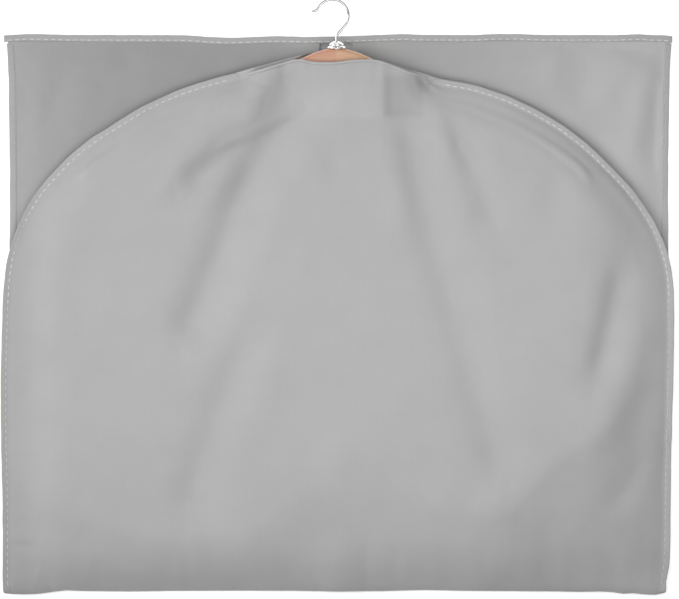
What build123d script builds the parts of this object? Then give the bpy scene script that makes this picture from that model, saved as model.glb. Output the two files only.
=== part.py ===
from build123d import *
import os
from math import sin, cos, tan, pi, hypot, sqrt, atan2, asin, degrees

# Full-length garment bag, folded in half and lying flat, with a wooden hanger
# inside its upper half.  Millimetres.  +Z up, +Y from the fold to the hook,
# origin under the middle of the whole thing, on the surface it lies on.

os.makedirs("parts", exist_ok=True)

# ---------------------------------------------------------------- dimensions
CLOTH_T = 0.8            # stand-in thickness of the non-woven cloth
TAPE_T = 0.6             # zip tape
Z_PLAIN_LOW = 0.4        # mid height of the plain panel that lies on the floor
Z_ZIP_LOW = 6.7          # zip panel of the lower half
Z_CHANNEL = 5.5          # the same panel along the zip, where the slider runs
Z_ZIP_UP = 11.7          # zip panel of the upper half
Z_PLAIN_FOLD = 20.0      # plain panel of the upper half, at the fold
Z_PLAIN_TOP = 27.8       # the same panel over the hanger
FOLD_Y = -260.7          # where the panels start to turn over the fold
FOLD_REACH = -270.5      # middle of the cloth at the outside of the fold
LOW_HALF_W = 304.0       # lower half, out to the outside of its side binding
HEM_HALF_W = 307.5       # bottom hem binding sticks out a little at both ends
HEM_Y0, HEM_Y1 = 231.8, 238.3
BIND_W = 8.5             # width of the side and shoulder binding
BIND_T = 2.4
NECK_X = 89.0            # the shoulder seam ends here, and the neck opening starts
NECK_BIND_W = 8.0
ZIP_EDGE_X = 16.0        # zip tape is sewn to the zip panels here
SLIT_X = 0.7             # half the slit between the two rows of coil
COIL_X = 3.2
COIL_H = 1.2
HANGER_Z = 21.0          # mid plane of the hanger
HANGER_T = 12.0
WIRE_R = 1.3
SLIDER_Y = 200.0
PIVOT_Z = 9.6            # pull tab's pivot

# outside line of the upper half, from the middle of the neck to the straight side
ARCH = [(0, 225.6), (20, 222.2), (38, 217.4), (55, 212.0), (73, 206.6), (89, 202.2),
        (106, 197.8), (124, 193.0), (153, 183.6), (179, 173.0), (207, 157.4), (233, 138.6),
        (251, 121.4), (267, 101.8), (279, 85.6), (291, 65.4), (300, 42.0), (304.4, 20.0),
        (306, -8.0)]
SIDE_X = 306.0
# front edge of the neck opening
NECK_FRONT = [(0, 212.0), (30, 212.0), (49, 208.2), (70, 203.4), (89, 200.9)]


def lerp_table(table, x):
    x = abs(x)
    if x <= table[0][0]:
        return table[0][1]
    for (x0, y0), (x1, y1) in zip(table, table[1:]):
        if x <= x1:
            return y0 + (y1 - y0) * (x - x0) / (x1 - x0)
    return table[-1][1]


def offset_line(pts, w):
    """the same line moved inward by w, vertex by vertex"""
    out = []
    for i, (x, y) in enumerate(pts):
        x0, y0 = pts[max(i - 1, 0)]
        x1, y1 = pts[min(i + 1, len(pts) - 1)]
        dx, dy = x1 - x0, y1 - y0
        n = hypot(dx, dy)
        out.append((x + w * dy / n, y - w * dx / n))
    return out


SEAM_OUT = [p for p in ARCH if p[0] >= NECK_X] + [(SIDE_X, -60.0), (SIDE_X, FOLD_Y)]
SEAM_IN = offset_line(SEAM_OUT, BIND_W)
SEAM_IN[0] = (NECK_X, SEAM_IN[0][1])
IN_X = SIDE_X - BIND_W
SEAM_IN = [(IN_X if po[0] >= SIDE_X else pi_[0], pi_[1]) for po, pi_ in zip(SEAM_OUT, SEAM_IN)]


def smooth(t):
    t = max(0.0, min(1.0, t))
    return t * t * (3 - 2 * t)


def seam_distance(x, y):
    """distance from the inner edge of the sewn seam of the upper half"""
    x = abs(x)
    best = 1e9
    for (x0, y0), (x1, y1) in zip(SEAM_IN, SEAM_IN[1:]):
        dx, dy = x1 - x0, y1 - y0
        t = max(0.0, min(1.0, ((x - x0) * dx + (y - y0) * dy) / (dx * dx + dy * dy)))
        best = min(best, hypot(x - x0 - t * dx, y - y0 - t * dy))
    return best


def z_seam(x):
    """mid height of the upper half's seam: it rests over the lower half"""
    return 8.8 - 1.8 * max(0.0, min(1.0, (abs(x) - 272.0) / 18.0))


def z_plain_up(x, y):
    inner = Z_PLAIN_FOLD + (Z_PLAIN_TOP - Z_PLAIN_FOLD) * max(0.0, min(1.0, (y - FOLD_Y) / 340.0))
    rise = 40.0 - 27.0 * max(0.0, min(1.0, (y - 20.0) / 80.0))
    rise -= 3.5 * max(0.0, min(1.0, (140.0 - abs(x)) / 30.0)) * (y > 100)
    s = z_seam(x) + CLOTH_T / 2 + 0.15
    return s + (inner - s) * smooth(seam_distance(x, y) / rise)


def z_zip_up(x, y):
    s = z_seam(x) - CLOTH_T / 2 - 0.15
    return s + (Z_ZIP_UP - s) * smooth(seam_distance(x, y) / 26.0)


def low_distance(x, y):
    return min(LOW_HALF_W - BIND_W - abs(x), HEM_Y0 - y)


def z_zip_low(x, y):
    inner = Z_CHANNEL + (Z_ZIP_LOW - Z_CHANNEL) * max(0.0, min(1.0, (abs(x) - 22.0) / 12.0))
    return 1.2 + (inner - 1.2) * smooth(low_distance(x, y) / 26.0)


# ---------------------------------------------------------------- sheet solids
def sheet_solid(top, bot):
    """closed solid between two matching grids of points"""
    faces = []
    n, m = len(top), len(top[0])

    def flat(a, b, c, d):
        u, v, w = ([q[k] - a[k] for k in range(3)] for q in (b, c, d))
        n = (u[1] * w[2] - u[2] * w[1], u[2] * w[0] - u[0] * w[2], u[0] * w[1] - u[1] * w[0])
        size = hypot(*n)
        return size > 1e-9 and abs(sum(p * q for p, q in zip(n, v))) / size < 1e-7

    def same(a, b):
        return hypot(a[0] - b[0], a[1] - b[1], a[2] - b[2]) < 1e-6

    def poly(*pts):
        keep = [p for i, p in enumerate(pts) if not same(p, pts[i - 1])]
        if len(keep) < 3:
            return
        faces.append(Face(Wire.make_polygon([Vector(*p) for p in keep], close=True)))

    def quad(a, b, c, d):
        if flat(a, b, c, d):
            poly(a, b, c, d)
        else:
            poly(a, b, c)
            poly(a, c, d)

    for i in range(n - 1):
        for j in range(m - 1):
            quad(top[i][j], top[i + 1][j], top[i + 1][j + 1], top[i][j + 1])
            quad(bot[i][j], bot[i][j + 1], bot[i + 1][j + 1], bot[i + 1][j])
    for i in range(n - 1):
        quad(bot[i][0], bot[i + 1][0], top[i + 1][0], top[i][0])
        quad(bot[i + 1][m - 1], bot[i][m - 1], top[i][m - 1], top[i + 1][m - 1])
    for j in range(m - 1):
        quad(bot[0][j + 1], bot[0][j], top[0][j], top[0][j + 1])
        quad(bot[n - 1][j], bot[n - 1][j + 1], top[n - 1][j + 1], top[n - 1][j])
    solid = Solid(Shell(faces))
    if solid.volume < 0:
        solid = Solid(Shell([-f for f in faces]))
    return solid


def height_sheet(xs, ys_at, zfun, t, shift=0.0):
    """cloth laid over the height zfun; ys_at(x) gives each column's y values"""
    cols = [[(x, y, zfun(x, y) + shift) for y in ys_at(x)] for x in xs]
    top = [[(x, y, z + t / 2) for x, y, z in c] for c in cols]
    bot = [[(x, y, z - t / 2) for x, y, z in c] for c in cols]
    return sheet_solid(top, bot)


def levels(y0, y1, margins, mid):
    """y values from y0 to y1 with fixed distances from the y1 end and mid steps between"""
    last = y1 - max(margins)
    ys = [y0 + (last - y0) * k / mid for k in range(mid)]
    return ys + [y1 - m for m in sorted(margins, reverse=True)]


def save(shape, name):
    shape.label = name
    export_step(shape, f"parts/{name}.step")


def mirror_x(shape):
    return shape.mirror(Plane.YZ)


# ---------------------------------------------------------------- lower half
LIN_X = LOW_HALF_W - BIND_W
save(Pos(0, (FOLD_Y + HEM_Y0) / 2, CLOTH_T / 2) * Box(2 * LIN_X, HEM_Y0 - FOLD_Y, CLOTH_T),
     "lower_plain_panel")

low_xs = [ZIP_EDGE_X, 22, 34, LIN_X - 26, LIN_X - 19, LIN_X - 13, LIN_X - 7, LIN_X]


def low_ys(x):
    return [FOLD_Y, 0.0, HEM_Y0 - 26, HEM_Y0 - 19, HEM_Y0 - 13, HEM_Y0 - 7, HEM_Y0]


panel = height_sheet(low_xs, low_ys, z_zip_low, CLOTH_T)
save(panel, "lower_zip_panel_right")
save(mirror_x(panel), "lower_zip_panel_left")

tape = height_sheet([SLIT_X, ZIP_EDGE_X], low_ys, z_zip_low, TAPE_T)
save(tape, "lower_zip_tape_right")
save(mirror_x(tape), "lower_zip_tape_left")

LOW_COIL_END = HEM_Y0 - 15.0


def low_coil_ys(x):
    return [FOLD_Y, HEM_Y0 - 26, HEM_Y0 - 19, LOW_COIL_END]


coil = height_sheet([SLIT_X, COIL_X], low_coil_ys, z_zip_low, COIL_H, -(TAPE_T + COIL_H) / 2 - 0.08)
save(coil, "lower_zip_coil_right")
save(mirror_x(coil), "lower_zip_coil_left")

zs = z_zip_low(0, LOW_COIL_END + 3.8) - TAPE_T / 2 - 0.1
stop = Pos(0, LOW_COIL_END + 2.2, zs - 0.55) * Box(6.4, 3.0, 1.1)
save(stop, "zip_bottom_stop")

side = Pos(LOW_HALF_W - BIND_W / 2, (FOLD_Y + HEM_Y0) / 2, BIND_T / 2) * Box(
    BIND_W, HEM_Y0 - FOLD_Y, BIND_T)
save(side, "lower_side_binding_right")
save(mirror_x(side), "lower_side_binding_left")

hem = Pos(0, (HEM_Y0 + HEM_Y1) / 2, 1.4) * Box(2 * HEM_HALF_W, HEM_Y1 - HEM_Y0, 2.8)
save(hem, "bottom_hem_binding")


# ---------------------------------------------------------------- the fold
def turn(x_low, x_up, z_low, z_up, y_start, reach, half_t, steps=10):
    """points round the fold from the lower to the upper cloth, moved half_t outward"""
    r = (z_up - z_low) / 2
    zc = (z_up + z_low) / 2
    yc = min(y_start, reach + r)
    pts = [(x_low, y_start, z_low - half_t)]
    for k in range(steps + 1):
        a = pi * k / steps
        x = x_low + (x_up - x_low) * k / steps
        pts.append((x, yc - (r + half_t) * sin(a), zc - (r + half_t) * cos(a)))
    pts.append((x_up, y_start, z_up + half_t))
    return pts


def wrap(stations, half_t):
    outer = [turn(*s, half_t) for s in stations]
    inner = [turn(*s, -half_t) for s in stations]
    return sheet_solid(outer, inner)


def station(x_up, kind):
    """one section of the fold at the upper half's x"""
    sign = 1 if x_up >= 0 else -1
    scale = LIN_X / IN_X if abs(x_up) > 34 else 1.0
    x_low = x_up * scale
    if kind == "outer":
        return (x_low, x_up, Z_PLAIN_LOW, z_plain_up(x_up, FOLD_Y), FOLD_Y, FOLD_REACH)
    zl, zu = z_zip_low(x_low, FOLD_Y), z_zip_up(x_up, FOLD_Y)
    edge = 1 - smooth((IN_X - abs(x_up)) / 26.0)
    reach = FOLD_Y - (zu - zl) / 2 - 6.3 * edge
    return (x_low, x_up, zl, zu, FOLD_Y, reach)


outer_x = [IN_X - d for d in (0.3, 7, 14, 21, 28, 40)]
xs = [-x for x in outer_x] + outer_x[::-1]
save(wrap([station(x, "outer") for x in xs], CLOTH_T / 2), "fold_wrap_outer")
inner_x = [IN_X - d for d in (0.3, 7, 13, 19, 26)] + [34, 22]
xs = [-x for x in inner_x] + inner_x[::-1]
save(wrap([station(x, "inner") for x in xs], CLOTH_T / 2), "fold_wrap_inner")
bind_stations = [(LIN_X, IN_X, BIND_T / 2, z_seam(IN_X), FOLD_Y, FOLD_REACH + 0.8),
                 (LOW_HALF_W, SIDE_X, BIND_T / 2, z_seam(SIDE_X), FOLD_Y, FOLD_REACH + 0.8)]
bend = wrap(bind_stations, BIND_T / 2)
save(bend, "fold_binding_right")
save(mirror_x(bend), "fold_binding_left")


# ---------------------------------------------------------------- upper half
def top_plain(x):
    """upper edge of the plain panel, under the neck binding or the seam binding"""
    x = abs(x)
    if x <= NECK_X:
        t0 = lerp_table(NECK_FRONT, x) - NECK_BIND_W
        return t0 + (SEAM_IN[0][1] - (NECK_FRONT[-1][1] - NECK_BIND_W)) * (x / NECK_X)
    return seam_y(x)


def seam_y(x):
    x = abs(x)
    for (x0, y0), (x1, y1) in zip(SEAM_IN, SEAM_IN[1:]):
        if x <= x1 + 1e-9 and x1 > x0:
            return y0 + (y1 - y0) * (x - x0) / (x1 - x0)
    return SEAM_IN[-3][1]


def back_edge(x):
    return lerp_table(ARCH, x) - 1.0


def top_zip(x):
    x = abs(x)
    if x <= NECK_X:
        t0 = back_edge(x) - NECK_BIND_W
        return t0 + (SEAM_IN[0][1] - (back_edge(NECK_X) - NECK_BIND_W)) * (x / NECK_X)
    return seam_y(x)


seam_xs = [p[0] for p in SEAM_IN[:-2]]
plain_xs = [0.0, 30.0, 49.0, 70.0] + seam_xs
plain_xs = [-x for x in plain_xs[:0:-1]] + plain_xs


def plain_ys(x):
    return levels(FOLD_Y, top_plain(x), (0, 4.5, 9, 15, 24), 6)


save(height_sheet(plain_xs, plain_ys, z_plain_up, CLOTH_T), "upper_plain_panel")

zip_xs = [ZIP_EDGE_X, 38.0, 55.0, 73.0] + seam_xs


def zip_ys(x):
    return levels(FOLD_Y, top_zip(x), (0, 7, 14, 26), 5)


panel = height_sheet(zip_xs, zip_ys, z_zip_up, CLOTH_T)
save(panel, "upper_zip_panel_right")
save(mirror_x(panel), "upper_zip_panel_left")

tape = height_sheet([SLIT_X, ZIP_EDGE_X], lambda x: [FOLD_Y, top_zip(x)], z_zip_up, TAPE_T)
save(tape, "upper_zip_tape_right")
save(mirror_x(tape), "upper_zip_tape_left")

UP_COIL_END = 212.0
coil = height_sheet([SLIT_X, COIL_X], lambda x: [FOLD_Y, UP_COIL_END], z_zip_up, COIL_H,
                    (TAPE_T + COIL_H) / 2)
save(coil, "upper_zip_coil_right")
save(mirror_x(coil), "upper_zip_coil_left")

s1 = Pos((SLIT_X + COIL_X) / 2 + 0.2, UP_COIL_END + 1.6, Z_ZIP_UP + 1.0) * Box(2.6, 2.4, 1.3)
save(Compound(children=[s1, mirror_x(s1)]), "zip_top_stops")

# seam binding of the shoulder and the side
top, bot = [], []
for (xo, yo), (xi, yi) in zip(SEAM_OUT, SEAM_IN):
    z = z_seam(xi)
    top.append([(xi, yi, z + BIND_T / 2), (xo, yo, z + BIND_T / 2)])
    bot.append([(xi, yi, z - BIND_T / 2), (xo, yo, z - BIND_T / 2)])
binding = sheet_solid(top, bot)
save(binding, "upper_edge_binding_right")
save(mirror_x(binding), "upper_edge_binding_left")

# neck bindings
xs = [0.0, 30.0, 49.0, 70.0, NECK_X - 5.0]
xs = [-x for x in xs[:0:-1]] + xs


def front_band(x):
    return [top_plain(x), lerp_table(NECK_FRONT, x)]


save(height_sheet(xs, front_band, z_plain_up, 1.6), "neck_binding_front")
xs = [SLIT_X, 20.0, 38.0, 55.0, 73.0, NECK_X - 5.0]
band = height_sheet(xs, lambda x: [top_zip(x), back_edge(x)], z_zip_up, 1.6)
save(band, "neck_binding_back_right")
save(mirror_x(band), "neck_binding_back_left")

# ---------------------------------------------------------------- hanger
UP_LINE = [(8, 224.7), (30, 217.0), (60, 198.5), (89, 179.5), (120, 166.5), (150, 156.5),
           (180, 142.5), (200, 131.5), (213, 122.5)]
LOW_LINE = [(213, 102.5), (190, 109.5), (150, 125.5), (100, 146.5), (60, 164.0), (28, 178.0)]
with BuildPart() as arm_part:
    with BuildSketch(Plane.XY.offset(HANGER_Z - HANGER_T / 2)):
        with BuildLine():
            l0 = Line((0, 183.0), (0, 224.7))
            l1 = Line((0, 224.7), (8, 224.7))
            l2 = Spline(*UP_LINE)
            l3 = ThreePointArc(UP_LINE[-1], (221.0, 111.5), LOW_LINE[0])
            l4 = Spline(*LOW_LINE)
            l5 = Spline(LOW_LINE[-1], (14, 182.0), (0, 183.0))
        make_face()
    extrude(amount=HANGER_T)
arm = arm_part.part.solid()
long_edges = [e for e in arm.edges()
              if abs(e.bounding_box().size.Z) < 1e-3 and e.bounding_box().max.X > 1.0]
try:
    arm = arm.fillet(4.0, long_edges).solid()
except Exception:
    arm = arm.chamfer(2.5, None, long_edges).solid()

SLEEVE_R, SLEEVE_Y0, SLEEVE_Y1, POCKET_Y0 = 4.4, 205.0, 224.4, 200.5


def rod(r, y0, y1, x=0.0, z=HANGER_Z):
    """cylinder along Y"""
    return Pos(x, (y0 + y1) / 2, z) * Rot(90, 0, 0) * Cylinder(r, y1 - y0)


def rod_x(r, y, length, z=HANGER_Z):
    return Pos(0, y, z) * Rot(0, 90, 0) * Cylinder(r, length)


bore = rod(SLEEVE_R, POCKET_Y0, 226.0)
DOWELS = [(2.5, 195.0), (2.5, 187.5)]
arm = arm - bore
for r, y in DOWELS:
    arm = arm - rod_x(r, y, 36.0)
arm = arm.solid() if hasattr(arm, "solid") else arm
save(arm, "hanger_arm_right")
save(mirror_x(arm), "hanger_arm_left")
save(Compound(children=[rod_x(r, y, 36.0) for r, y in DOWELS]), "hanger_dowels")

sleeve = rod(SLEEVE_R, SLEEVE_Y0, SLEEVE_Y1) - rod(WIRE_R + 0.06, SLEEVE_Y0 - 1, SLEEVE_Y1 + 1)
save(sleeve, "hook_sleeve")

# domed collar over the sleeve, with a lower flange and an upper dome
COLLAR_Y = 224.9
with BuildPart() as collar_part:
    with BuildSketch(Plane.XY):
        with BuildLine():
            Polyline((WIRE_R + 0.06, COLLAR_Y), (8.1, COLLAR_Y), (8.1, COLLAR_Y + 0.9))
            ThreePointArc((8.1, COLLAR_Y + 0.9), (7.7, COLLAR_Y + 2.2), (6.9, COLLAR_Y + 3.0))
            Polyline((6.9, COLLAR_Y + 3.0), (6.3, COLLAR_Y + 3.2), (6.5, COLLAR_Y + 3.6))
            ThreePointArc((6.5, COLLAR_Y + 3.6), (4.9, COLLAR_Y + 6.0), (2.6, COLLAR_Y + 7.2))
            Polyline((2.6, COLLAR_Y + 7.2), (WIRE_R + 0.06, COLLAR_Y + 7.5),
                     (WIRE_R + 0.06, COLLAR_Y))
        make_face()
    revolve(axis=Axis.Y, revolution_arc=360)
save(Pos(0, 0, HANGER_Z) * collar_part.part.solid(), "hook_collar")

# hook: one bent wire with a head that holds it in the sleeve
HOOK_C = (-3.7, 255.1)
HOOK_R = 14.6
BEND_Y, BEND_R = 237.2, 5.0
HOOK_D = hypot(HOOK_C[0], HOOK_C[1] - BEND_Y)
RUN = sqrt(HOOK_D ** 2 - HOOK_R ** 2)          # straight run, tangent to the ring
BEND_A = pi / 2 - (atan2(HOOK_C[1] - BEND_Y, HOOK_C[0]) - asin(HOOK_R / HOOK_D))
HEAD_Y = 201.2
with BuildLine() as hook_line:
    a = Line((0, HEAD_Y + 1.0), (0, BEND_Y - BEND_R * tan(BEND_A / 2)))
    b = JernArc(start=a @ 1, tangent=(0, 1), radius=BEND_R, arc_size=-degrees(BEND_A))
    c = Line(b @ 1, b @ 1 + b % 1 * (RUN - BEND_R * tan(BEND_A / 2)))
    d = JernArc(start=c @ 1, tangent=c % 1, radius=HOOK_R, arc_size=degrees(BEND_A) + 154)
    e = JernArc(start=d @ 1, tangent=d % 1, radius=3.6, arc_size=-62)
    f = Line(e @ 1, e @ 1 + e % 1 * 1.6)
with BuildPart() as hook_part:
    with BuildSketch(Plane(origin=(0, HEAD_Y + 1.0, 0), z_dir=(0, 1, 0))):
        Circle(WIRE_R)
    sweep(path=hook_line.wire())
hook = hook_part.part.solid()
hook = Pos(0, 0, HANGER_Z) * hook + rod(2.9, HEAD_Y, HEAD_Y + 1.6)
tip = f @ 1
hook = hook + Pos(tip.X, tip.Y, HANGER_Z) * Sphere(WIRE_R)
save(hook.solid(), "hanger_hook")
bb = hook.bounding_box()
print("hook box", bb.min, bb.max, "tip", tip)

# ---------------------------------------------------------------- zip slider
inner_plate = Pos(0, SLIDER_Y, Z_ZIP_UP + 2.25) * Box(9.2, 12.0, 0.9)
outer_plate = Pos(0, SLIDER_Y, Z_ZIP_UP - 1.05) * Box(9.2, 12.0, 0.9)
inner_plate = inner_plate.fillet(2.2, inner_plate.edges().filter_by(Axis.Z))
outer_plate = outer_plate.fillet(2.2, outer_plate.edges().filter_by(Axis.Z))
web = Pos(0, SLIDER_Y + 0.5, Z_ZIP_UP + 0.6) * Box(0.8, 9.0, 2.6)
bail = Pos(0, SLIDER_Y, 9.3) * Box(2.4, 7.0, 1.9) - Pos(0, SLIDER_Y, 9.65) * Box(4, 4.4, 1.1)
slider = inner_plate + web + outer_plate + bail
save(slider.solid(), "zip_slider")

# pull tab: a flat tab with an eye round the slider's bail
TAB_Y1 = SLIDER_Y - 4.6
tab = Pos(0, TAB_Y1 - 11.0, PIVOT_Z) * Box(7.0, 22.0, 0.8)
tab = tab.fillet(2.4, tab.edges().filter_by(Axis.Z).group_by(Axis.Y)[0])
for sx in (-1, 1):
    tab = tab + Pos(sx * 2.0, (TAB_Y1 - 1.0 + SLIDER_Y + 0.4) / 2, PIVOT_Z) * Box(
        0.8, SLIDER_Y + 0.4 - TAB_Y1 + 1.0, 0.8)
tab = tab + Pos(0, SLIDER_Y, PIVOT_Z) * Box(4.8, 0.8, 0.8)
tab = tab - Pos(0, TAB_Y1 - 17.5, PIVOT_Z) * Cylinder(1.4, 2)
save(tab.solid(), "zip_pull_tab")
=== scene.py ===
import bpy
import numpy as np
from math import sin, cos, tan, pi, hypot, sqrt, atan2, asin, radians
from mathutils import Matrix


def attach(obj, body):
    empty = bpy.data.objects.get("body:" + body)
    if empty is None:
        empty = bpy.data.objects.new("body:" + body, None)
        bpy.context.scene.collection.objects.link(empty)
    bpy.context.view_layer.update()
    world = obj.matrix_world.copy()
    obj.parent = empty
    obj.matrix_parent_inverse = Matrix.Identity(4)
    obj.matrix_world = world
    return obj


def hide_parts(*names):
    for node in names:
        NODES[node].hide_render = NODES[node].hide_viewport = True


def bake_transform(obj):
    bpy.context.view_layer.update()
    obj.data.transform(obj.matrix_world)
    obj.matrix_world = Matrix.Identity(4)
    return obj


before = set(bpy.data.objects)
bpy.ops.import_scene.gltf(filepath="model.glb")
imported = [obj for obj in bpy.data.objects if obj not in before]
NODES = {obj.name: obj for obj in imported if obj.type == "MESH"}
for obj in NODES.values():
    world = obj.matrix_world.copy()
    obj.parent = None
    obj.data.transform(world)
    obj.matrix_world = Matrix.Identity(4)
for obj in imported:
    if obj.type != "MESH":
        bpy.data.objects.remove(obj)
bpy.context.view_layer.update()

# Full-length garment bag folded in half over its middle, lying flat, with a wooden
# hanger inside the upper half.  All shapes below are worked out in millimetres in the
# CAD's own frame and written to Blender in metres.

MM = 0.001

# ------------------------------------------------------------------ sizes
T = 0.5                    # cloth
FOLD_Y = -260.7
AXIS_Z = 10.2
SIDE_X = 306.0
BIND_W = 6.7
STITCH = 6.6               # stitch pitch
HEM_Y0, HEM_Y1 = 231.8, 238.6
HANGER_Z = 21.0

# outer edge of the upper half, from the fold up the left side, over both shoulders and the
# back of the neck, and down the right side to the fold
EDGE = [(-305, -260.7), (-305.2, -245), (-305.1, -215), (-305.3, -178), (-306.2, -150), (-306.8, -118),
        (-306.9, -85), (-306.5, -55), (-305.7, -30), (-305, -8), (-304.1, 8), (-302.9, 22.1), (-300.9, 34.2),
        (-297.9, 44.7), (-294.4, 55.7), (-290.1, 66.7), (-284.8, 77.3), (-279, 87.4), (-272.9, 96.5),
        (-266, 104.6), (-258.8, 112.4), (-251, 120.6), (-242.8, 128.5), (-232.7, 137.2), (-219.3, 146.8),
        (-206.1, 154.7), (-191.7, 163.8), (-177.6, 172.4), (-164.6, 178.7), (-151.7, 184.7), (-138, 189.8),
        (-124.5, 194.4), (-112.8, 197.8), (-101.2, 201), (-89.8, 204), (-78.9, 206.9), (-67.9, 209.9),
        (-56.1, 213.2), (-42.4, 216.9), (-28.7, 220.4), (-16.9, 223), (-7.8, 224.6), (0, 225.2),
        (6.8, 224.6), (15, 222.7), (24.2, 219.8), (34.2, 216.5), (44.2, 213.2), (54.1, 210), (63.8, 206.8),
        (76.4, 203.4), (86.9, 200.3), (97.1, 197.6), (109, 195.4), (121.8, 193.2), (135.3, 189.5),
        (148.8, 185), (162.1, 179.8), (175.7, 173.2), (189.9, 165.6), (203.4, 157.7), (214.6, 149.6),
        (227.1, 140.1), (237.3, 131.1), (247.4, 121), (258.4, 110.2), (269.5, 98.2), (279, 85.9),
        (287.5, 73.3), (293.9, 61.4), (298.8, 50.6), (302.7, 39.1), (305.6, 28.1), (307.4, 15.9),
        (308.2, 0), (308.5, -17), (308.3, -35), (307.8, -63), (307.2, -96), (306.5, -117), (305.8, -145),
        (305.3, -168), (305, -195), (304.9, -222), (304.3, -242.1), (302.9, -252.2), (301.1, -260.9)]
CORNER_L, CORNER_R = (-258.8, 112.4), (258.5, 110.1)
# front edge of the neck opening, from the left end of the shoulder seam to the right one
NECK_L, NECK_R = (-92.0, 202.0), (90.5, 198.4)
NECK = [(-92.0, 202.0), (-83, 202.6), (-72, 205.0), (-60, 208.2), (-52, 210.6), (-44, 212.9),
        (-37, 214.6), (-31, 214.5), (-26, 213.2), (-20, 212.1), (-10, 211.7), (0, 211.9), (7, 212.9),
        (14, 213.9), (24, 214.2), (32, 214.5), (39, 213.4), (46, 211.1), (53, 208.6), (61, 205.2),
        (68, 202.9), (76, 200.9), (90.5, 198.4)]


def lerp(table, x):
    xs, ys = zip(*table)
    return np.interp(x, xs, ys)


def chaikin(pts, n=2):
    p = np.array(pts, float)
    for _ in range(n):
        q = [p[0]]
        for a, b in zip(p[:-1], p[1:]):
            q += [a * .75 + b * .25, a * .25 + b * .75]
        q.append(p[-1])
        p = np.array(q)
    return p


def along(p):
    return np.concatenate([[0], np.cumsum(np.linalg.norm(np.diff(p, axis=0), axis=1))])


def resample(p, n=None, step=None):
    p = np.asarray(p, float)
    s = along(p)
    if n is None:
        n = max(2, int(round(s[-1] / step)) + 1)
    t = np.linspace(0, s[-1], n)
    return np.stack([np.interp(t, s, p[:, k]) for k in range(p.shape[1])], 1)


def normals2(p):
    """unit normals to the right of the line's direction"""
    d = np.gradient(p, axis=0)
    d /= np.linalg.norm(d, axis=1)[:, None] + 1e-12
    return np.stack([d[:, 1], -d[:, 0]], 1), d


def distance(P, line):
    """distance of every point of P to a polyline, and how far along it the nearest point is"""
    P = np.asarray(P, float)
    best = np.full(len(P), 1e18)
    where = np.zeros(len(P))
    side = np.zeros(len(P))
    s = along(line)
    for k in range(len(line) - 1):
        a, b = line[k], line[k + 1]
        d = b - a
        L2 = d @ d
        t = np.clip(((P - a) @ d) / L2, 0, 1)
        q = P - a - t[:, None] * d
        r = (q ** 2).sum(1)
        m = r < best
        best[m] = r[m]
        where[m] = s[k] + t[m] * sqrt(L2)
        side[m] = np.sign(d[0] * q[m, 1] - d[1] * q[m, 0])
    return np.sqrt(best), where, side


def smooth(t):
    t = np.clip(t, 0, 1)
    return t * t * (3 - 2 * t)


def hash01(k, seed=0.0):
    """a fixed scatter of numbers from 0 to 1"""
    return np.mod(np.sin(np.asarray(k, float) * 12.9898 + seed * 78.233 + 4.1) * 43758.5453, 1.0)


def noise1(x, seed=0.0):
    x = np.asarray(x, float)
    i = np.floor(x)
    f = smooth(x - i)
    return (hash01(i, seed) * (1 - f) + hash01(i + 1, seed) * f) * 2 - 1


def noise2(x, y, seed=0.0):
    ix, iy = np.floor(x), np.floor(y)
    fx, fy = smooth(x - ix), smooth(y - iy)
    h = lambda a, b: hash01(a * 57.0 + b * 131.0, seed)
    return ((h(ix, iy) * (1 - fx) + h(ix + 1, iy) * fx) * (1 - fy)
            + (h(ix, iy + 1) * (1 - fx) + h(ix + 1, iy + 1) * fx) * fy) * 2 - 1


EDGE_LINE = chaikin(EDGE, 2)
NECK_LINE = chaikin(NECK, 2)


def split_line(line, p, q):
    """part of a polyline between the points nearest to p and q"""
    i = int(np.argmin(((line - np.array(p)) ** 2).sum(1)))
    j = int(np.argmin(((line - np.array(q)) ** 2).sum(1)))
    return line[i:j + 1]


# ------------------------------------------------------------------ heights
ARM_L = np.array([(-6, 204), (-30, 198), (-60, 181), (-95, 163), (-150, 141), (-190, 120), (-212, 112)], float)
ARM_R = ARM_L * [-1, 1]
ARM_W = [(0, 24), (30, 21), (65, 19), (105, 16.5), (160, 15.5), (240, 12)]

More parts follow.
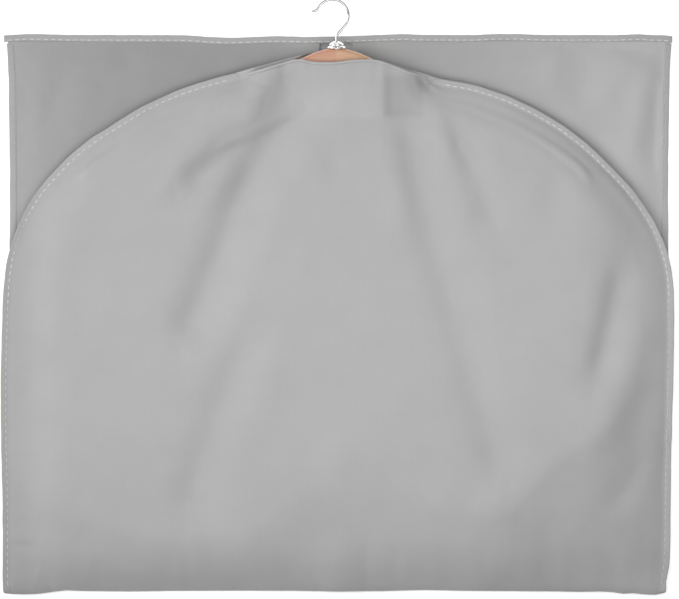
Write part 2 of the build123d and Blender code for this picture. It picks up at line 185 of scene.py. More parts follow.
# drape of the plain panel: (line, depth, width on its left, width on its right), all mm;
# a positive depth is a valley, a negative one a ridge
FOLDS = [
    ([(-38, 196), (-45, 172), (-58, 141), (-76, 112), (-88, 88), (-99, 55), (-116, 8), (-141, -46)], 3.4, 19, 13),
    ([(-22, 160), (-40, 118), (-62, 70), (-82, 20), (-104, -30)], -0.7, 13, 18),
    ([(-74, 150), (-98, 129), (-124, 108), (-142, 92)], 2.8, 9, 11),
    ([(-104, 152), (-134, 126), (-158, 100)], -0.8, 8, 9),
    ([(-120, 182), (-150, 155), (-180, 132), (-206, 118)], 1.5, 9, 9),
    ([(-196, 150), (-215, 128), (-240, 110)], 0.9, 8, 9),
    ([(-72, -26), (-92, -70), (-111, -122), (-126, -165), (-138, -208)], 1.7, 18, 12),
    ([(-52, -40), (-74, -90), (-92, -140), (-106, -190)], -0.6, 14, 16),
    ([(-1, 142), (-2, 124), (-4, 102)], 0.9, 9, 9),
    ([(64, 165), (71, 120), (82, 78), (95, 30), (112, -30), (129, -85), (143, -135), (152, -168)], 1.7, 15, 12),
    ([(46, 158), (54, 110), (62, 60)], -1.0, 11, 12),
    ([(104, 158), (118, 128), (131, 100), (146, 56)], 1.3, 10, 10),
    ([(88, 172), (96, 146), (112, 110)], -1.0, 7, 8),
    ([(259, 34), (254, 4), (249, -20), (243, -48), (234, -84)], 2.2, 11, 9),
    ([(288, -20), (271, -66), (251, -106), (232, -142)], -1.4, 12, 13),
    ([(310, -40), (292, -86), (270, -124), (244, -158)], 0.7, 15, 20),
    ([(290, -130), (266, -172), (240, -200)], 0.9, 9, 11),
    ([(-282, 40), (-286, 0), (-288, -50), (-284, -110)], 0.8, 8, 12),
    ([(-258, 60), (-262, 10), (-266, -60)], -0.8, 14, 16),
    ([(-262, -150), (-268, -185), (-262, -215)], -1.0, 10, 12),
    ([(-288, -180), (-290, -230), (-282, -252)], 1.4, 9, 9),
    ([(-240, -196), (-214, -222), (-178, -240)], 0.8, 10, 12),
    ([(30, -135), (0, -140), (-22, -137)], -0.9, 20, 14),
    ([(160, -180), (146, -186), (136, -176)], -1.6, 12, 16),
    ([(196, 118), (200, 84), (190, 60)], 0.7, 11, 12),
]


def along_folds(P, folds, min_end=26.0):
    z = np.zeros(len(P))
    for line, depth, wl, wr in folds:
        c = chaikin(line, 2)
        L = along(c)[-1]
        d, s, side = distance(P, c)
        w = np.where(side > 0, wl, wr)
        taper = smooth((s + 1e-6) / min_end) * smooth((L - s) / min_end)
        z -= depth * np.exp(-0.5 * (d / w) ** 2) * (0.25 + 0.75 * taper) * np.where(
            (s <= 1e-6) | (s >= L - 1e-6), np.exp(-0.5 * (d / 9.0) ** 2), 1.0)
    return z


def hanger_cover(P):
    """1 over the hanger, 0 away from it"""
    out = np.zeros(len(P))
    for arm in (ARM_L, ARM_R):
        c = chaikin(arm, 2)
        d, s, _ = distance(P, c)
        w = np.interp(s, *zip(*ARM_W))
        out = np.maximum(out, 1 - smooth((d - w) / 12.0))
    return out


def z_seam(x):
    return lerp([(0, 16.6), (180, 16.6), (215, 15.4), (245, 13.2), (270, 10.9), (287, 8.9), (298, 7.5), (306, 7.0)], np.abs(x))


def puckers(s, d, seed, amp=0.5, reach=17.0):
    """small gathers that run in from a sewn seam; s along the seam, d in from it"""
    a = noise1(s / 9.0, seed) * 0.6 + noise1(s / 4.6, seed + 3) * 0.4 * np.exp(-d / 7.0)
    return amp * a * np.exp(-np.clip(d, 0, None) / reach) * smooth(d / 3.0)


# where the front panel starts to fall towards the fold
ROLL = [(-304, -150), (-250, -190), (-200, -205), (-124, -213), (-79, -210), (-55, -186), (-33, -170), (12, -168),
        (45, -176), (90, -185), (140, -192), (158, -188), (175, -170), (195, -142), (240, -118), (300, -40)]


def z_plain_up(P):
    x, y = P[:, 0], P[:, 1]
    d_out, s, _ = distance(P, EDGE_LINE)
    # the neck edge isn't sewn down, so only the seam part of the edge pulls the panel down
    seam_l = split_line(EDGE_LINE, EDGE[0], NECK_L)
    seam_r = split_line(EDGE_LINE, NECK_R, EDGE[-1])
    dl, sl, _ = distance(P, seam_l)
    dr, sr, _ = distance(P, seam_r)
    dd = np.minimum(dl, dr)
    ss = np.where(dl < dr, sl, sr + 2000)
    d = np.clip(dd - BIND_W, 0, None)
    roll = lerp(ROLL, x)
    t = np.clip((roll - y) / (roll + 260.7), 0, 1.03)
    inner = 28.6 + 2.6 * np.clip((y - 40) / 160.0, 0, 1) - 16.0 * (0.06 * t + 0.60 * t ** 2.0 + 0.34 * t ** 5.0)
    inner += 3.2 * np.exp(-(x / 17.0) ** 2) * smooth(t) ** 2  # over the foot of the zip
    rise = 60.0 - 28.0 * np.clip((y - 20.0) / 90.0, 0, 1)
    rise += 22.0 * smooth((x - 120) / 120.0) * (1 - smooth((y - 20) / 70.0))
    rise -= 5.0 * np.clip((130.0 - np.abs(x)) / 30.0, 0, 1) * (y > 100)
    base = z_seam(x) + 0.4
    t = np.clip(d / rise, 0, 1)
    prof = 0.20 * smooth(t) + 0.80 * (1 - (1 - t) ** 2.2)
    z = base + (inner - base) * prof
    far = smooth(d / 30.0)
    drape = 2.3 * along_folds(P, FOLDS)
    # hanger centre block shows through as a flat patch, with a hollow on its right
    patch = smooth((49 - np.abs(x - 2)) / 10.0) * smooth((y - 156) / 8.0)
    drape += 1.5 * patch
    drape -= 1.8 * np.exp(-0.5 * ((x - 63) / 12.0) ** 2 - 0.5 * ((y - 187) / 20.0) ** 2)
    drape -= 1.0 * np.exp(-0.5 * ((x + 62) / 9.0) ** 2 - 0.5 * ((y - 190) / 16.0) ** 2)
    # crease to the right of the neck opening, and small ones on the left
    crease = np.zeros(len(P))
    for line, dep, w in (([(74, 199.5), (81, 193), (88, 186.5)], 1.5, 1.9),
                         ([(78.5, 199.5), (85, 193.6), (93, 186.5)], -1.5, 2.2),
                         ([(-78, 198), (-71, 193), (-60, 189.5), (-44, 188)], 1.0, 2.4),
                         ([(-84, 194), (-70, 189), (-52, 186)], -0.8, 2.6),
                         ([(-48, 209), (-50, 200), (-49, 190)], 0.6, 2.6),
                         ([(-88, 199), (-62, 205.5), (-46, 208.4)], 0.8, 1.8),
                         ([(-299, -226), (-290, -227.5), (-275, -226)], 1.1, 2.2),
                         ([(-298, -242), (-288, -254), (-270, -263)], -1.3, 7.0),
                         ([(-258, -264), (-274, -244), (-282, -226)], 0.9, 5.0)):
        c = np.array(line, float)
        q, sq, _ = distance(P, c)
        Lc = along(c)[-1]
        crease -= dep * np.exp(-0.5 * (q / w) ** 2) * (0.3 + 0.7 * smooth(sq / 5.0) * smooth((Lc - sq) / 7.0))
    # gathers above and beside the patch, pleated into the neck hem
    fan = noise1(x / 6.0, 5.0) * np.exp(-np.clip(211 - y, 0, None) / 13.0) * (np.abs(x) < 60)
    drape += 0.45 * fan
    broad = 0.8 * noise2(x / 88.0 + 3.1, y / 74.0, 1.0) + 0.42 * noise2(x / 37.0, y / 41.0 + 9, 2.0)
    broad += 0.16 * noise2(x / 16.0, y / 19.0, 4.0)
    z += far * (drape + broad) + crease * smooth(d / 3.0)
    z += puckers(ss, d, 11.0, 0.55, 15.0)
    # fine wrinkles above the fold at the bottom
    low = smooth((-205 - y) / 40.0)
    z += low * (0.55 * noise1(x / 21.0 + 0.02 * y, 21.0) + 0.3 * noise1(x / 9.0, 23.0)) * smooth(d / 10)
    cover = hanger_cover(P) * smooth((dd - 16.0) / 8.0)
    floor_z = 27.55
    lifted = np.maximum(z, floor_z + 0.35 * np.exp(np.clip(z - floor_z, -9, 0) / 2.0))
    return z + (lifted - z) * cover


def z_zip_up(P):
    x, y = P[:, 0], P[:, 1]
    seam_l = split_line(EDGE_LINE, EDGE[0], NECK_L)
    seam_r = split_line(EDGE_LINE, NECK_R, EDGE[-1])
    dl, sl, _ = distance(P, seam_l)
    dr, sr, _ = distance(P, seam_r)
    dd = np.minimum(dl, dr)
    d = np.clip(dd - BIND_W, 0, None)
    base = z_seam(x) - 0.4
    z = base + (11.7 - base) * smooth(d / 22.0)
    z -= 2.4 * smooth((-236 - y) / 24.0) * smooth((np.abs(x) - 16) / 16.0) * smooth(d / 22.0)
    wood = lerp([(0, 224.7), (8, 224.7), (30, 217), (60, 198.5), (89, 179.5), (120, 166.5)], np.abs(x))
    z += 6.4 * smooth((y - wood - 0.4) / 3.2) * smooth((np.abs(x) - 19) / 9.0) * (1 - smooth((np.abs(x) - 70) / 24.0)) * (y > 190)
    calm = smooth((np.abs(x) - 24) / 30.0)
    z += (0.4 * noise2(x / 60.0, y / 70.0, 31.0) + 0.15 * noise2(x / 22.0, y / 25.0, 32.0)) * smooth(d / 20.0) * calm
    z += puckers(np.where(dl < dr, sl, sr + 2000), d, 41.0, 0.22, 10.0)
    return z


BACK_FOLDS = [
    ([(-262, 184), (-276, 162), (-284, 140)], -1.3, 6, 7),
    ([(-214, 196), (-234, 170), (-252, 150)], -1.0, 8, 9),
    ([(-236, 214), (-252, 196), (-270, 168)], 1.1, 8, 8),
    ([(-182, 224), (-204, 204), (-226, 186)], 1.0, 10, 9),
    ([(-298, 140), (-284, 146), (-268, 152)], 1.0, 4, 4),
    ([(-296, 172), (-286, 182), (-280, 196)], 0.8, 6, 7),
    ([(-150, 228), (-120, 214), (-96, 208)], 0.8, 10, 9),
    ([(196, 230), (202, 212), (190, 188)], -1.2, 7, 10),
    ([(222, 226), (226, 206), (216, 176)], 0.9, 8, 8),
    ([(272, 222), (258, 200), (236, 176)], -1.4, 8, 9),
    ([(246, 226), (276, 226), (296, 218)], 0.9, 4, 5),
    ([(286, 216), (282, 186), (274, 150), (266, 120)], -1.2, 7, 9),
    ([(298, 200), (296, 160), (290, 110)], 1.0, 6, 8),
    ([(150, 232), (130, 216), (104, 206)], 0.8, 9, 9),
]


def low_edges(y):
    """left and right outer edge of the lower half at height y of the picture plane"""
    xl = lerp([(FOLD_Y, -304.0), (-120, -302.5), (40, -299.4), (110, -299.0), (160, -299.6), (200, -300.4),
               (225, -301.6), (240, -303.0)], y)
    xr = lerp([(FOLD_Y, 300.2), (-200, 303), (-100, 304), (40, 303.8), (110, 303.4), (165, 304.2), (205, 305.2),
               (228, 306.4), (240, 307.0)], y)
    return xl, xr


def z_zip_low(P):
    x, y = P[:, 0], P[:, 1]
    xl, xr = low_edges(y)
    dx = np.minimum(x - xl, xr - x) - BIND_W
    dy = HEM_Y0 - y
    d = np.clip(np.minimum(dx, dy), 0, None)
    inner = 5.5 + 1.2 * np.clip((np.abs(x) - 22.0) / 12.0, 0, 1) * (1 - smooth((y - 30) / 60.0))
    inner -= 1.5 * smooth((np.abs(x) - 22.0) / 30.0) * smooth((y - 30) / 60.0)
    t = np.clip(d / 26.0, 0, 1)
    z = 1.5 + (inner - 1.5) * (0.7 * smooth(t) + 0.3 * (1 - (1 - t) ** 2))
    seen = smooth((y - 90) / 40.0)
    calm = smooth((np.abs(x) - 26) / 30.0)
    relief = along_folds(P, BACK_FOLDS, 14.0) * calm * smooth(d / 6.0)
    relief += 0.35 * noise2(x / 52.0, y / 44.0, 51.0) * smooth(d / 20.0) * calm
    relief += 0.14 * noise2(x / 17.0, y / 15.0, 52.0) * smooth(d / 8.0) * calm
    # under the upper half the panel stays below it; where it's in view it may stand prouder
    z += np.clip(relief, -3.0, 2.2) * (0.35 + 0.65 * seen)
    along_seam = np.where(dx < dy, y * np.sign(x) + 900, x)
    z += puckers(along_seam, d, 61.0, 0.35, 9.0)
    return np.maximum(z, 1.1)


def z_plain_low(P):
    return np.full(len(P), 0.45)


# reach of the fold line, so that its edge isn't ruled
REACH = [(-306, -271.6), (-296, -272.4), (-286, -272.6), (-272, -272.0), (-262, -270.6), (-248, -268.9),
         (-232, -269.6), (-190, -270.1), (-150, -269.5), (-96, -269.3), (-40, -269.2), (0, -269.9),
         (40, -269.6), (80, -268.6), (112, -269.3), (150, -269.6), (196, -269.8), (222, -270.3),
         (240, -269.8), (252, -270.3), (262, -272.0), (272, -271.4), (282, -272.6), (292, -272.9), (302, -271.0)]


# ------------------------------------------------------------------ mesh helpers
def make_mesh(name, verts, faces, uv=None, smooth_shade=True):
    me = bpy.data.meshes.new(name)
    v = np.asarray(verts, np.float64) * MM
    me.from_pydata(v.tolist(), [], [tuple(int(i) for i in f) for f in faces])
    me.update()
    if smooth_shade:
        me.polygons.foreach_set("use_smooth", [True] * len(me.polygons))
    if uv is not None:
        layer = me.uv_layers.new(name="flat")
        loops = np.zeros(len(me.loops), np.int32)
        me.loops.foreach_get("vertex_index", loops)
        layer.data.foreach_set("uv", (np.asarray(uv, float)[loops] * MM).astype(np.float32).ravel())
    ob = bpy.data.objects.new(name, me)
    bpy.context.scene.collection.objects.link(ob)
    return ob


def grid_faces(n, m, off=0, flip=False):
    i, j = np.meshgrid(np.arange(n - 1), np.arange(m - 1), indexing="ij")
    a = (i * m + j).ravel() + off
    f = np.stack([a, a + m, a + m + 1, a + 1], 1)
    return f[:, ::-1] if flip else f


def grid_normals(G):
    """unit normals of a grid of points, whichever way its rows run"""
    du = np.gradient(G, axis=0)
    dv = np.gradient(G, axis=1)
    n = np.cross(du, dv)
    n /= np.linalg.norm(n, axis=2)[:, :, None] + 1e-12
    return n


def cloth(name, G, uv, t):
    """closed thin sheet round the grid of points G (rows, columns, 3)"""
    n, m = G.shape[:2]
    N = grid_normals(G)
    top = (G + N * t / 2).reshape(-1, 3)
    bot = (G - N * t / 2).reshape(-1, 3)
    k = n * m
    faces = [grid_faces(n, m), grid_faces(n, m, k, True)]
    rim = [j for j in range(m)] + [i * m + m - 1 for i in range(1, n)] + \
          [(n - 1) * m + j for j in range(m - 2, -1, -1)] + [i * m for i in range(n - 2, 0, -1)]
    rim = np.array(rim)
    nxt = np.roll(rim, -1)
    faces.append(np.stack([rim, nxt, nxt + k, rim + k], 1))
    ob = make_mesh(name, np.concatenate([top, bot]), np.concatenate(faces).tolist(),
                   np.concatenate([uv.reshape(-1, 2)] * 2))
    return ob


def tube_strip(name, sections, closed_section=True, uv=None):
    """loft of equal closed sections (stations, points, 3), capped at both ends"""
    S = np.asarray(sections, float)
    n, m = S.shape[:2]
    i, j = np.meshgrid(np.arange(n - 1), np.arange(m), indexing="ij")
    a = (i * m + j).ravel()
    b = (i * m + (j + 1) % m).ravel()
    faces = np.stack([a, b, b + m, a + m], 1).tolist()
    faces.append(list(range(m))[::-1])
    faces.append([(n - 1) * m + q for q in range(m)])
    return make_mesh(name, S.reshape(-1, 3), faces, uv)


def set_blend(ob):
    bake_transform(ob)


def coons(left, right, bottom, top):
    """transfinite map: rows follow left/right, columns follow bottom/top"""
    n, m = len(left), len(bottom)
    u = np.linspace(0, 1, m)[None, :, None]
    v = np.linspace(0, 1, n)[:, None, None]
    L, R = left[:, None, :], right[:, None, :]
    B, Tp = bottom[None], top[None]
    return ((1 - u) * L + u * R + (1 - v) * B + v * Tp
            - (1 - u) * (1 - v) * bottom[0] - u * (1 - v) * bottom[-1]
            - (1 - u) * v * top[0] - u * v * top[-1])


def relax(G, n=150, hold_rows=0):
    G = G.copy()
    for _ in range(n):
        G[1:-1, 1:-1] = 0.5 * G[1:-1, 1:-1] + 0.125 * (G[:-2, 1:-1] + G[2:, 1:-1] + G[1:-1, :-2] + G[1:-1, 2:])
    return G


def inset(line, w):
    n, _ = normals2(line)
    return line + n * w


INSIDE = inset(EDGE_LINE, 1.6)          # the panels end inside the binding


def bend_rows(G_low, G_up, reach, steps):
    """rows of points round the fold, from the last lower row to the first upper row; the curve
    leaves both rows along their own slope and touches reach halfway"""
    a, b = G_low[-1], G_up[0]
    ta = G_low[-1] - G_low[-2]
    tb = G_up[1] - G_up[0]
    ta = ta / np.linalg.norm(ta[:, 1:], axis=1)[:, None] * [0, 1, 1]
    tb = tb / np.linalg.norm(tb[:, 1:], axis=1)[:, None] * [0, 1, 1]
    mid = (a[:, 1] + b[:, 1]) / 2
    k = 8 * (mid - reach) / (np.abs(ta[:, 1]) + np.abs(tb[:, 1]))
    k = k[:, None]
    rows, ws = [], []
    for q in range(1, steps):
        t = q / steps
        h00, h10 = 2 * t ** 3 - 3 * t ** 2 + 1, t ** 3 - 2 * t ** 2 + t
        h01, h11 = -2 * t ** 3 + 3 * t ** 2, t ** 3 - t ** 2
        rows.append(h00 * a + h10 * k * ta + h01 * b + h11 * k * tb)
        ws.append(np.full(len(a), t))
    return rows, ws


def flat_uv(G):
    """cloth coordinates: distance along rows and along columns from the middle"""
    dv = np.concatenate([np.zeros((1, G.shape[1])), np.cumsum(np.linalg.norm(np.diff(G, axis=0), axis=2), 0)])
    v = np.repeat(dv.mean(1)[:, None], G.shape[1], 1)
    return np.stack([G[:, :, 0], v], 2)


# ------------------------------------------------------------------ cloth panels
STEP = 2.5


def rows_low(xs_top_row, y0, y1, n, xfun):
    ys = np.linspace(y0, y1, n)
    return np.stack([np.stack([xfun(y), np.full(len(xs_top_row), y)], 1) for y in ys])


def build_panel(name, kind, x_in=None, sign=0):
    """plain panel (kind 'plain') or one of the two zip panels (kind 'zip')"""
    side_l = split_line(INSIDE, (INSIDE[0][0], INSIDE[0][1]), CORNER_L)
    side_r = split_line(INSIDE, CORNER_R, INSIDE[-1])[::-1]
    sh_l = split_line(INSIDE, CORNER_L, NECK_L)
    sh_r = split_line(INSIDE, NECK_R, CORNER_R)
    n_up = int(400 / STEP)
    if kind == "plain":
        m = int(612 / STEP) + 1
        top = np.concatenate([sh_l[:-1], inset(NECK_LINE, 0.6), sh_r[1:]])
        left, right = resample(side_l, n_up), resample(side_r, n_up)
        top = resample(top, m)
        bottom = np.stack([np.linspace(left[0][0], right[0][0], m), np.full(m, FOLD_Y)], 1)
    else:
        m = int(300 / STEP) + 1
        back = inset(split_line(EDGE_LINE, NECK_L, NECK_R), 1.2)
        if sign > 0:
            cut = back[back[:, 0] > x_in]
            y_in = np.interp(x_in, back[:, 0], back[:, 1])
            top = resample(np.concatenate([[(x_in, y_in)], cut, sh_r[1:]]), m)
            right = resample(side_r, n_up)
            left = np.stack([np.full(n_up, x_in), np.linspace(FOLD_Y, y_in, n_up)], 1)
        else:
            cut = back[back[:, 0] < -x_in]
            y_in = np.interp(-x_in, back[:, 0], back[:, 1])
            top = resample(np.concatenate([sh_l[:-1], cut, [(-x_in, y_in)]]), m)
            left = resample(side_l, n_up)
            right = np.stack([np.full(n_up, -x_in), np.linspace(FOLD_Y, y_in, n_up)], 1)
        bottom = np.stack([np.linspace(left[0][0], right[0][0], m), np.full(m, FOLD_Y)], 1)
    up = relax(coons(left, right, bottom, top), 160)
    # lower half: the same columns, spread between its own edges
    n_low = int(493 / STEP)
    ys = np.linspace(HEM_Y0 + 3.0, FOLD_Y, n_low)
    share_x = bottom[:, 0]
    xl0, xr0 = low_edges(FOLD_Y)
    low = []
    for y in ys:
        xl, xr = low_edges(y)
        if kind == "plain":
            a0, a1, b0, b1 = share_x[0], share_x[-1], xl + 1.6, xr - 1.6
        elif sign > 0:
            a0, a1, b0, b1 = x_in, share_x[-1], x_in, xr - 1.6
        else:
            a0, a1, b0, b1 = share_x[0], -x_in, xl + 1.6, -x_in
        x = b0 + (share_x - a0) * (b1 - b0) / (a1 - a0)
        low.append(np.stack([x, np.full(m, y)], 1))
    low = np.array(low)
    zf_low, zf_up = (z_plain_low, z_plain_up) if kind == "plain" else (z_zip_low, z_zip_up)
    zl = zf_low(low.reshape(-1, 2)).reshape(low.shape[:2])
    zu = zf_up(up.reshape(-1, 2)).reshape(up.shape[:2])
    GL = np.dstack([low, zl])
    GU = np.dstack([up, zu])
    if kind == "plain":
        reach = lerp(REACH, share_x) + T / 2
        steps = 26
    else:
        edge_d = np.minimum(share_x - EDGE[0][0], EDGE[-1][0] - share_x) - BIND_W
        reach = FOLD_Y - (zu[0] - zl[-1]) / 2 - 6.3 * (1 - smooth(edge_d / 26.0))
        steps = 12
    rows, ws = bend_rows(GL, GU, reach, steps)
    G = np.concatenate([GL, np.array(rows), GU])
    W = np.concatenate([np.zeros((len(GL), m)), np.array(ws), np.ones((len(GU), m))])
    ob = cloth(name, G, flat_uv(G), T)
    set_blend(ob)
    return ob, G, W


plain, G_plain, W_plain = build_panel("bag_plain_cloth", "plain")
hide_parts("lower_plain_panel", "upper_plain_panel", "fold_wrap_outer")
zip_l, G_zl, _ = build_panel("bag_zip_cloth_left", "zip", 14.5, -1)
zip_r, G_zr, _ = build_panel("bag_zip_cloth_right", "zip", 14.5, 1)
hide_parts("lower_zip_panel_left", "upper_zip_panel_left", "fold_wrap_inner")
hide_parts("lower_zip_panel_right", "upper_zip_panel_right", "fold_wrap_inner")


# ------------------------------------------------------------------ side and shoulder binding
def band_section(w, h, seed_s, stitch_at, s, phase, detail=16):
    """profile across a folded binding tape: (across from the outer edge, up), pinched at the stitches"""
    q = np.linspace(0, 2 * pi, detail, endpoint=False)
    cx = np.sign(np.cos(q)) * np.abs(np.cos(q)) ** 0.42
    cz = np.sign(np.sin(q)) * np.abs(np.sin(q)) ** 0.62
    across = w / 2 - cx * w / 2
    pinch = 1 - 0.30 * np.exp(-0.5 * ((across - stitch_at) / 0.9) ** 2) * (0.72 + 0.28 * np.cos(2 * pi * s / STITCH + phase))
    swell = 1 + 0.10 * np.cos(2 * pi * s / STITCH + pi + phase) * np.exp(-across / 2.5)
    up = cz * h / 2 * pinch * swell
    return across, up


def side_path(sign):
    """the binding's outer edge from the hem, round the fold, up the side and shoulder to the neck"""
    ys = np.arange(HEM_Y0 - 0.5, FOLD_Y, -1.65)
    xl, xr = low_edges(ys)
    x = xl if sign < 0 else xr
    low = np.stack([x, ys, np.full(len(ys), 1.25)], 1)
    up2 = EDGE_LINE if sign < 0 else EDGE_LINE[::-1]
    end = (-80.0, 206.6) if sign < 0 else (78.0, 203.0)
    up2 = resample(split_line(up2, up2[0], end), step=1.65)
    up = np.stack([up2[:, 0], up2[:, 1], z_seam(up2[:, 0])], 1)
    # a little slack along the seam
    s = along(up2)
    up[:, 2] += 0.10 * noise1(s / 9.0, 75 + sign)
    reach = lerp(REACH, up2[0][0]) + 1.1
    z0, z1 = 1.25, up[0, 2]
    r, zc = (z1 - z0) / 2, (z1 + z0) / 2
    yc = reach + r
    bend, wb = [], []
    lead_n = 5
    for k in range(1, lead_n + 1):
        f = k / (lead_n + 1)
        bend.append((low[-1, 0] * (1 - f) + up[0, 0] * f * 0 + low[-1, 0] * f, FOLD_Y + (yc - FOLD_Y) * f, z0))
        wb.append(0.0)
    steps = 10
    for k in range(steps + 1):
        a = pi * k / steps
        f = k / steps
        bend.append((low[-1, 0] * (1 - f) + up[0, 0] * f, yc - r * sin(a), zc - r * cos(a)))
        wb.append(f)
    for k in range(1, lead_n + 1):
        f = k / (lead_n + 1)
        bend.append((up[0, 0], yc + (FOLD_Y - yc) * f, z1))
        wb.append(1.0)
    path = np.concatenate([low, np.array(bend), up])
    w = np.concatenate([np.zeros(len(low)), np.array(wb), np.ones(len(up))])
    return path, w, len(low), len(bend)


STITCH_IN = 4.7            # row of stitches, in from the outer edge
STITCH_SETS = {}
THREAD_SHADE = {}


def build_binding(sign):
    name = "side_binding_left" if sign < 0 else "side_binding_right"
    path, w, n_low, n_bend = side_path(sign)
    s = along(path)
    t = np.gradient(path, axis=0)
    t /= np.linalg.norm(t, axis=1)[:, None]
    # direction across the strip, toward the bag's middle, kept level
    inward = np.stack([-t[:, 1], t[:, 0], np.zeros(len(t))], 1)
    flat = np.linalg.norm(inward[:, :2], axis=1) > 0.35
    for k in range(len(path)):
        if not flat[k] or n_low - 1 <= k <= n_low + n_bend:
            inward[k] = (-sign, 0, 0)
        else:
            v = inward[k] / np.linalg.norm(inward[k])
            # turn it toward the middle of the bag
            if v @ np.array([-path[k, 0], 20 - path[k, 1], 0]) < 0:
                v = -v
            inward[k] = v
    for _ in range(3):
        inward[1:-1] = (inward[:-2] + 2 * inward[1:-1] + inward[2:]) / 4
    inward /= np.linalg.norm(inward, axis=1)[:, None]
    up = np.cross(t, inward)
    up /= np.linalg.norm(up, axis=1)[:, None]
    if sign < 0:
        # on the lower half "up" faces the floor side of the turn; the section is symmetric, so it's fine
        pass
    sections = []
    ends = (smooth(s / 2.0) * 0.5 + 0.5) * (0.22 + 0.78 * smooth((s[-1] - s) / 13.0))
    slim = 0.45 + 0.55 * smooth((s[-1] - s) / 13.0)
    wave = 0.22 * noise1(s / 13.0, 80 + sign)
    for k in range(len(path)):
        width = (BIND_W + 0.35 * noise1(s[k] / 23.0, 85 + sign)) * slim[k]
        across, h = band_section(width, 2.1, 0, STITCH_IN, s[k], 0.0)
        p = path[k] + np.outer(across + wave[k], inward[k]) + np.outer(h * ends[k], up[k])
        sections.append(p)
    S = np.array(sections)
    m = S.shape[1]
    uv = np.stack([np.repeat(s[:, None], m, 1), np.repeat(np.arange(m)[None] * 1.1, len(s), 0)], 2).reshape(-1, 2)
    ob = tube_strip(name, S, uv=uv)
    set_blend(ob)
    side = "left" if sign < 0 else "right"
    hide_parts(f"lower_side_binding_{side}", f"upper_edge_binding_{side}", f"fold_binding_{side}")
    STITCH_SETS[side] = (path, w, s, inward, up, n_low, n_bend)
    return ob


bind_l, bind_r = build_binding(-1), build_binding(1)


# ------------------------------------------------------------------ bottom hem binding
def build_hem():
    top_edge = [(-307, 238.6), (-302, 238.9), (-294, 239.4), (-284, 240.1), (-272, 240.1), (-248, 239.3),
                (-190, 239.2), (-140, 239.1), (-117, 237.5), (-95, 236.6), (-73, 237.4), (-52, 238.2),
                (-30, 237.4), (14, 238.3), (36, 239.2), (58, 240.1), (80, 239.3), (124, 239.2), (146, 240.1),
                (168, 240.1), (190, 239.3), (212, 239.2), (255, 239.2), (277, 240.0), (288, 239.2), (300, 239.0),
                (308.5, 238.0)]
    x = np.arange(-304.4, 307.6, 1.1)
    yt = lerp(top_edge, x) + 0.12 * noise1(x / 5.0, 90)
    w = 6.3 + 0.25 * noise1(x / 19.0, 91)
    secs = []
    for k in range(len(x)):
        end = 0.55 + 0.45 * smooth(min(x[k] + 304.4, 307.5 - x[k]) / 2.5)
        across, h = band_section(w[k], 2.5, 0, 4.7, x[k] + 304.4, 0.0)
        zc = 1.55 + 0.12 * noise1(x[k] / 17.0, 92)
        secs.append(np.stack([np.full(len(across), x[k]), yt[k] - across, zc + h * end], 1))
    S = np.array(secs)
    m = S.shape[1]
    uv = np.stack([np.repeat(x[:, None], m, 1), np.repeat(np.arange(m)[None] * 1.1, len(x), 0)], 2).reshape(-1, 2)
    ob = tube_strip("hem_binding", S, uv=uv)
    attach(ob, "lower_half")
    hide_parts("bottom_hem_binding")
    return ob, x, yt


hem, hem_x, hem_yt = build_hem()


# ------------------------------------------------------------------ stitches
def stitch_mesh(starts, ends_, ups, r=0.47, rise=0.52):
    """short lengths of thread, each a bent capsule that dips into the cloth at both ends"""
    V, F, owner = [], [], []
    rings, sides = 7, 6
    prof = np.array([0.25, 0.8, 1.0, 1.0, 1.0, 0.8, 0.25])
    ang = np.arange(sides) * 2 * pi / sides
    for a, b, u in zip(starts, ends_, ups):
        t = (b - a) / np.linalg.norm(b - a)
        sde = np.cross(t, u)
        base = len(V) * 1
        for k in range(rings):
            f = k / (rings - 1)
            c = a + (b - a) * f + u * (rise * (1 - (2 * f - 1) ** 4) - 0.42)
            ring = c + r * prof[k] * (np.outer(np.cos(ang), sde) + np.outer(np.sin(ang), u))
            V.extend(ring.tolist())
        for k in range(rings - 1):
            for j in range(sides):
                q = base + k * sides
                F.append((q + j, q + (j + 1) % sides, q + sides + (j + 1) % sides, q + sides + j))
        F.append(tuple(base + j for j in range(sides))[::-1])
        F.append(tuple(base + (rings - 1) * sides + j for j in range(sides)))
        owner.append((base, rings * sides))
    return V, F, owner


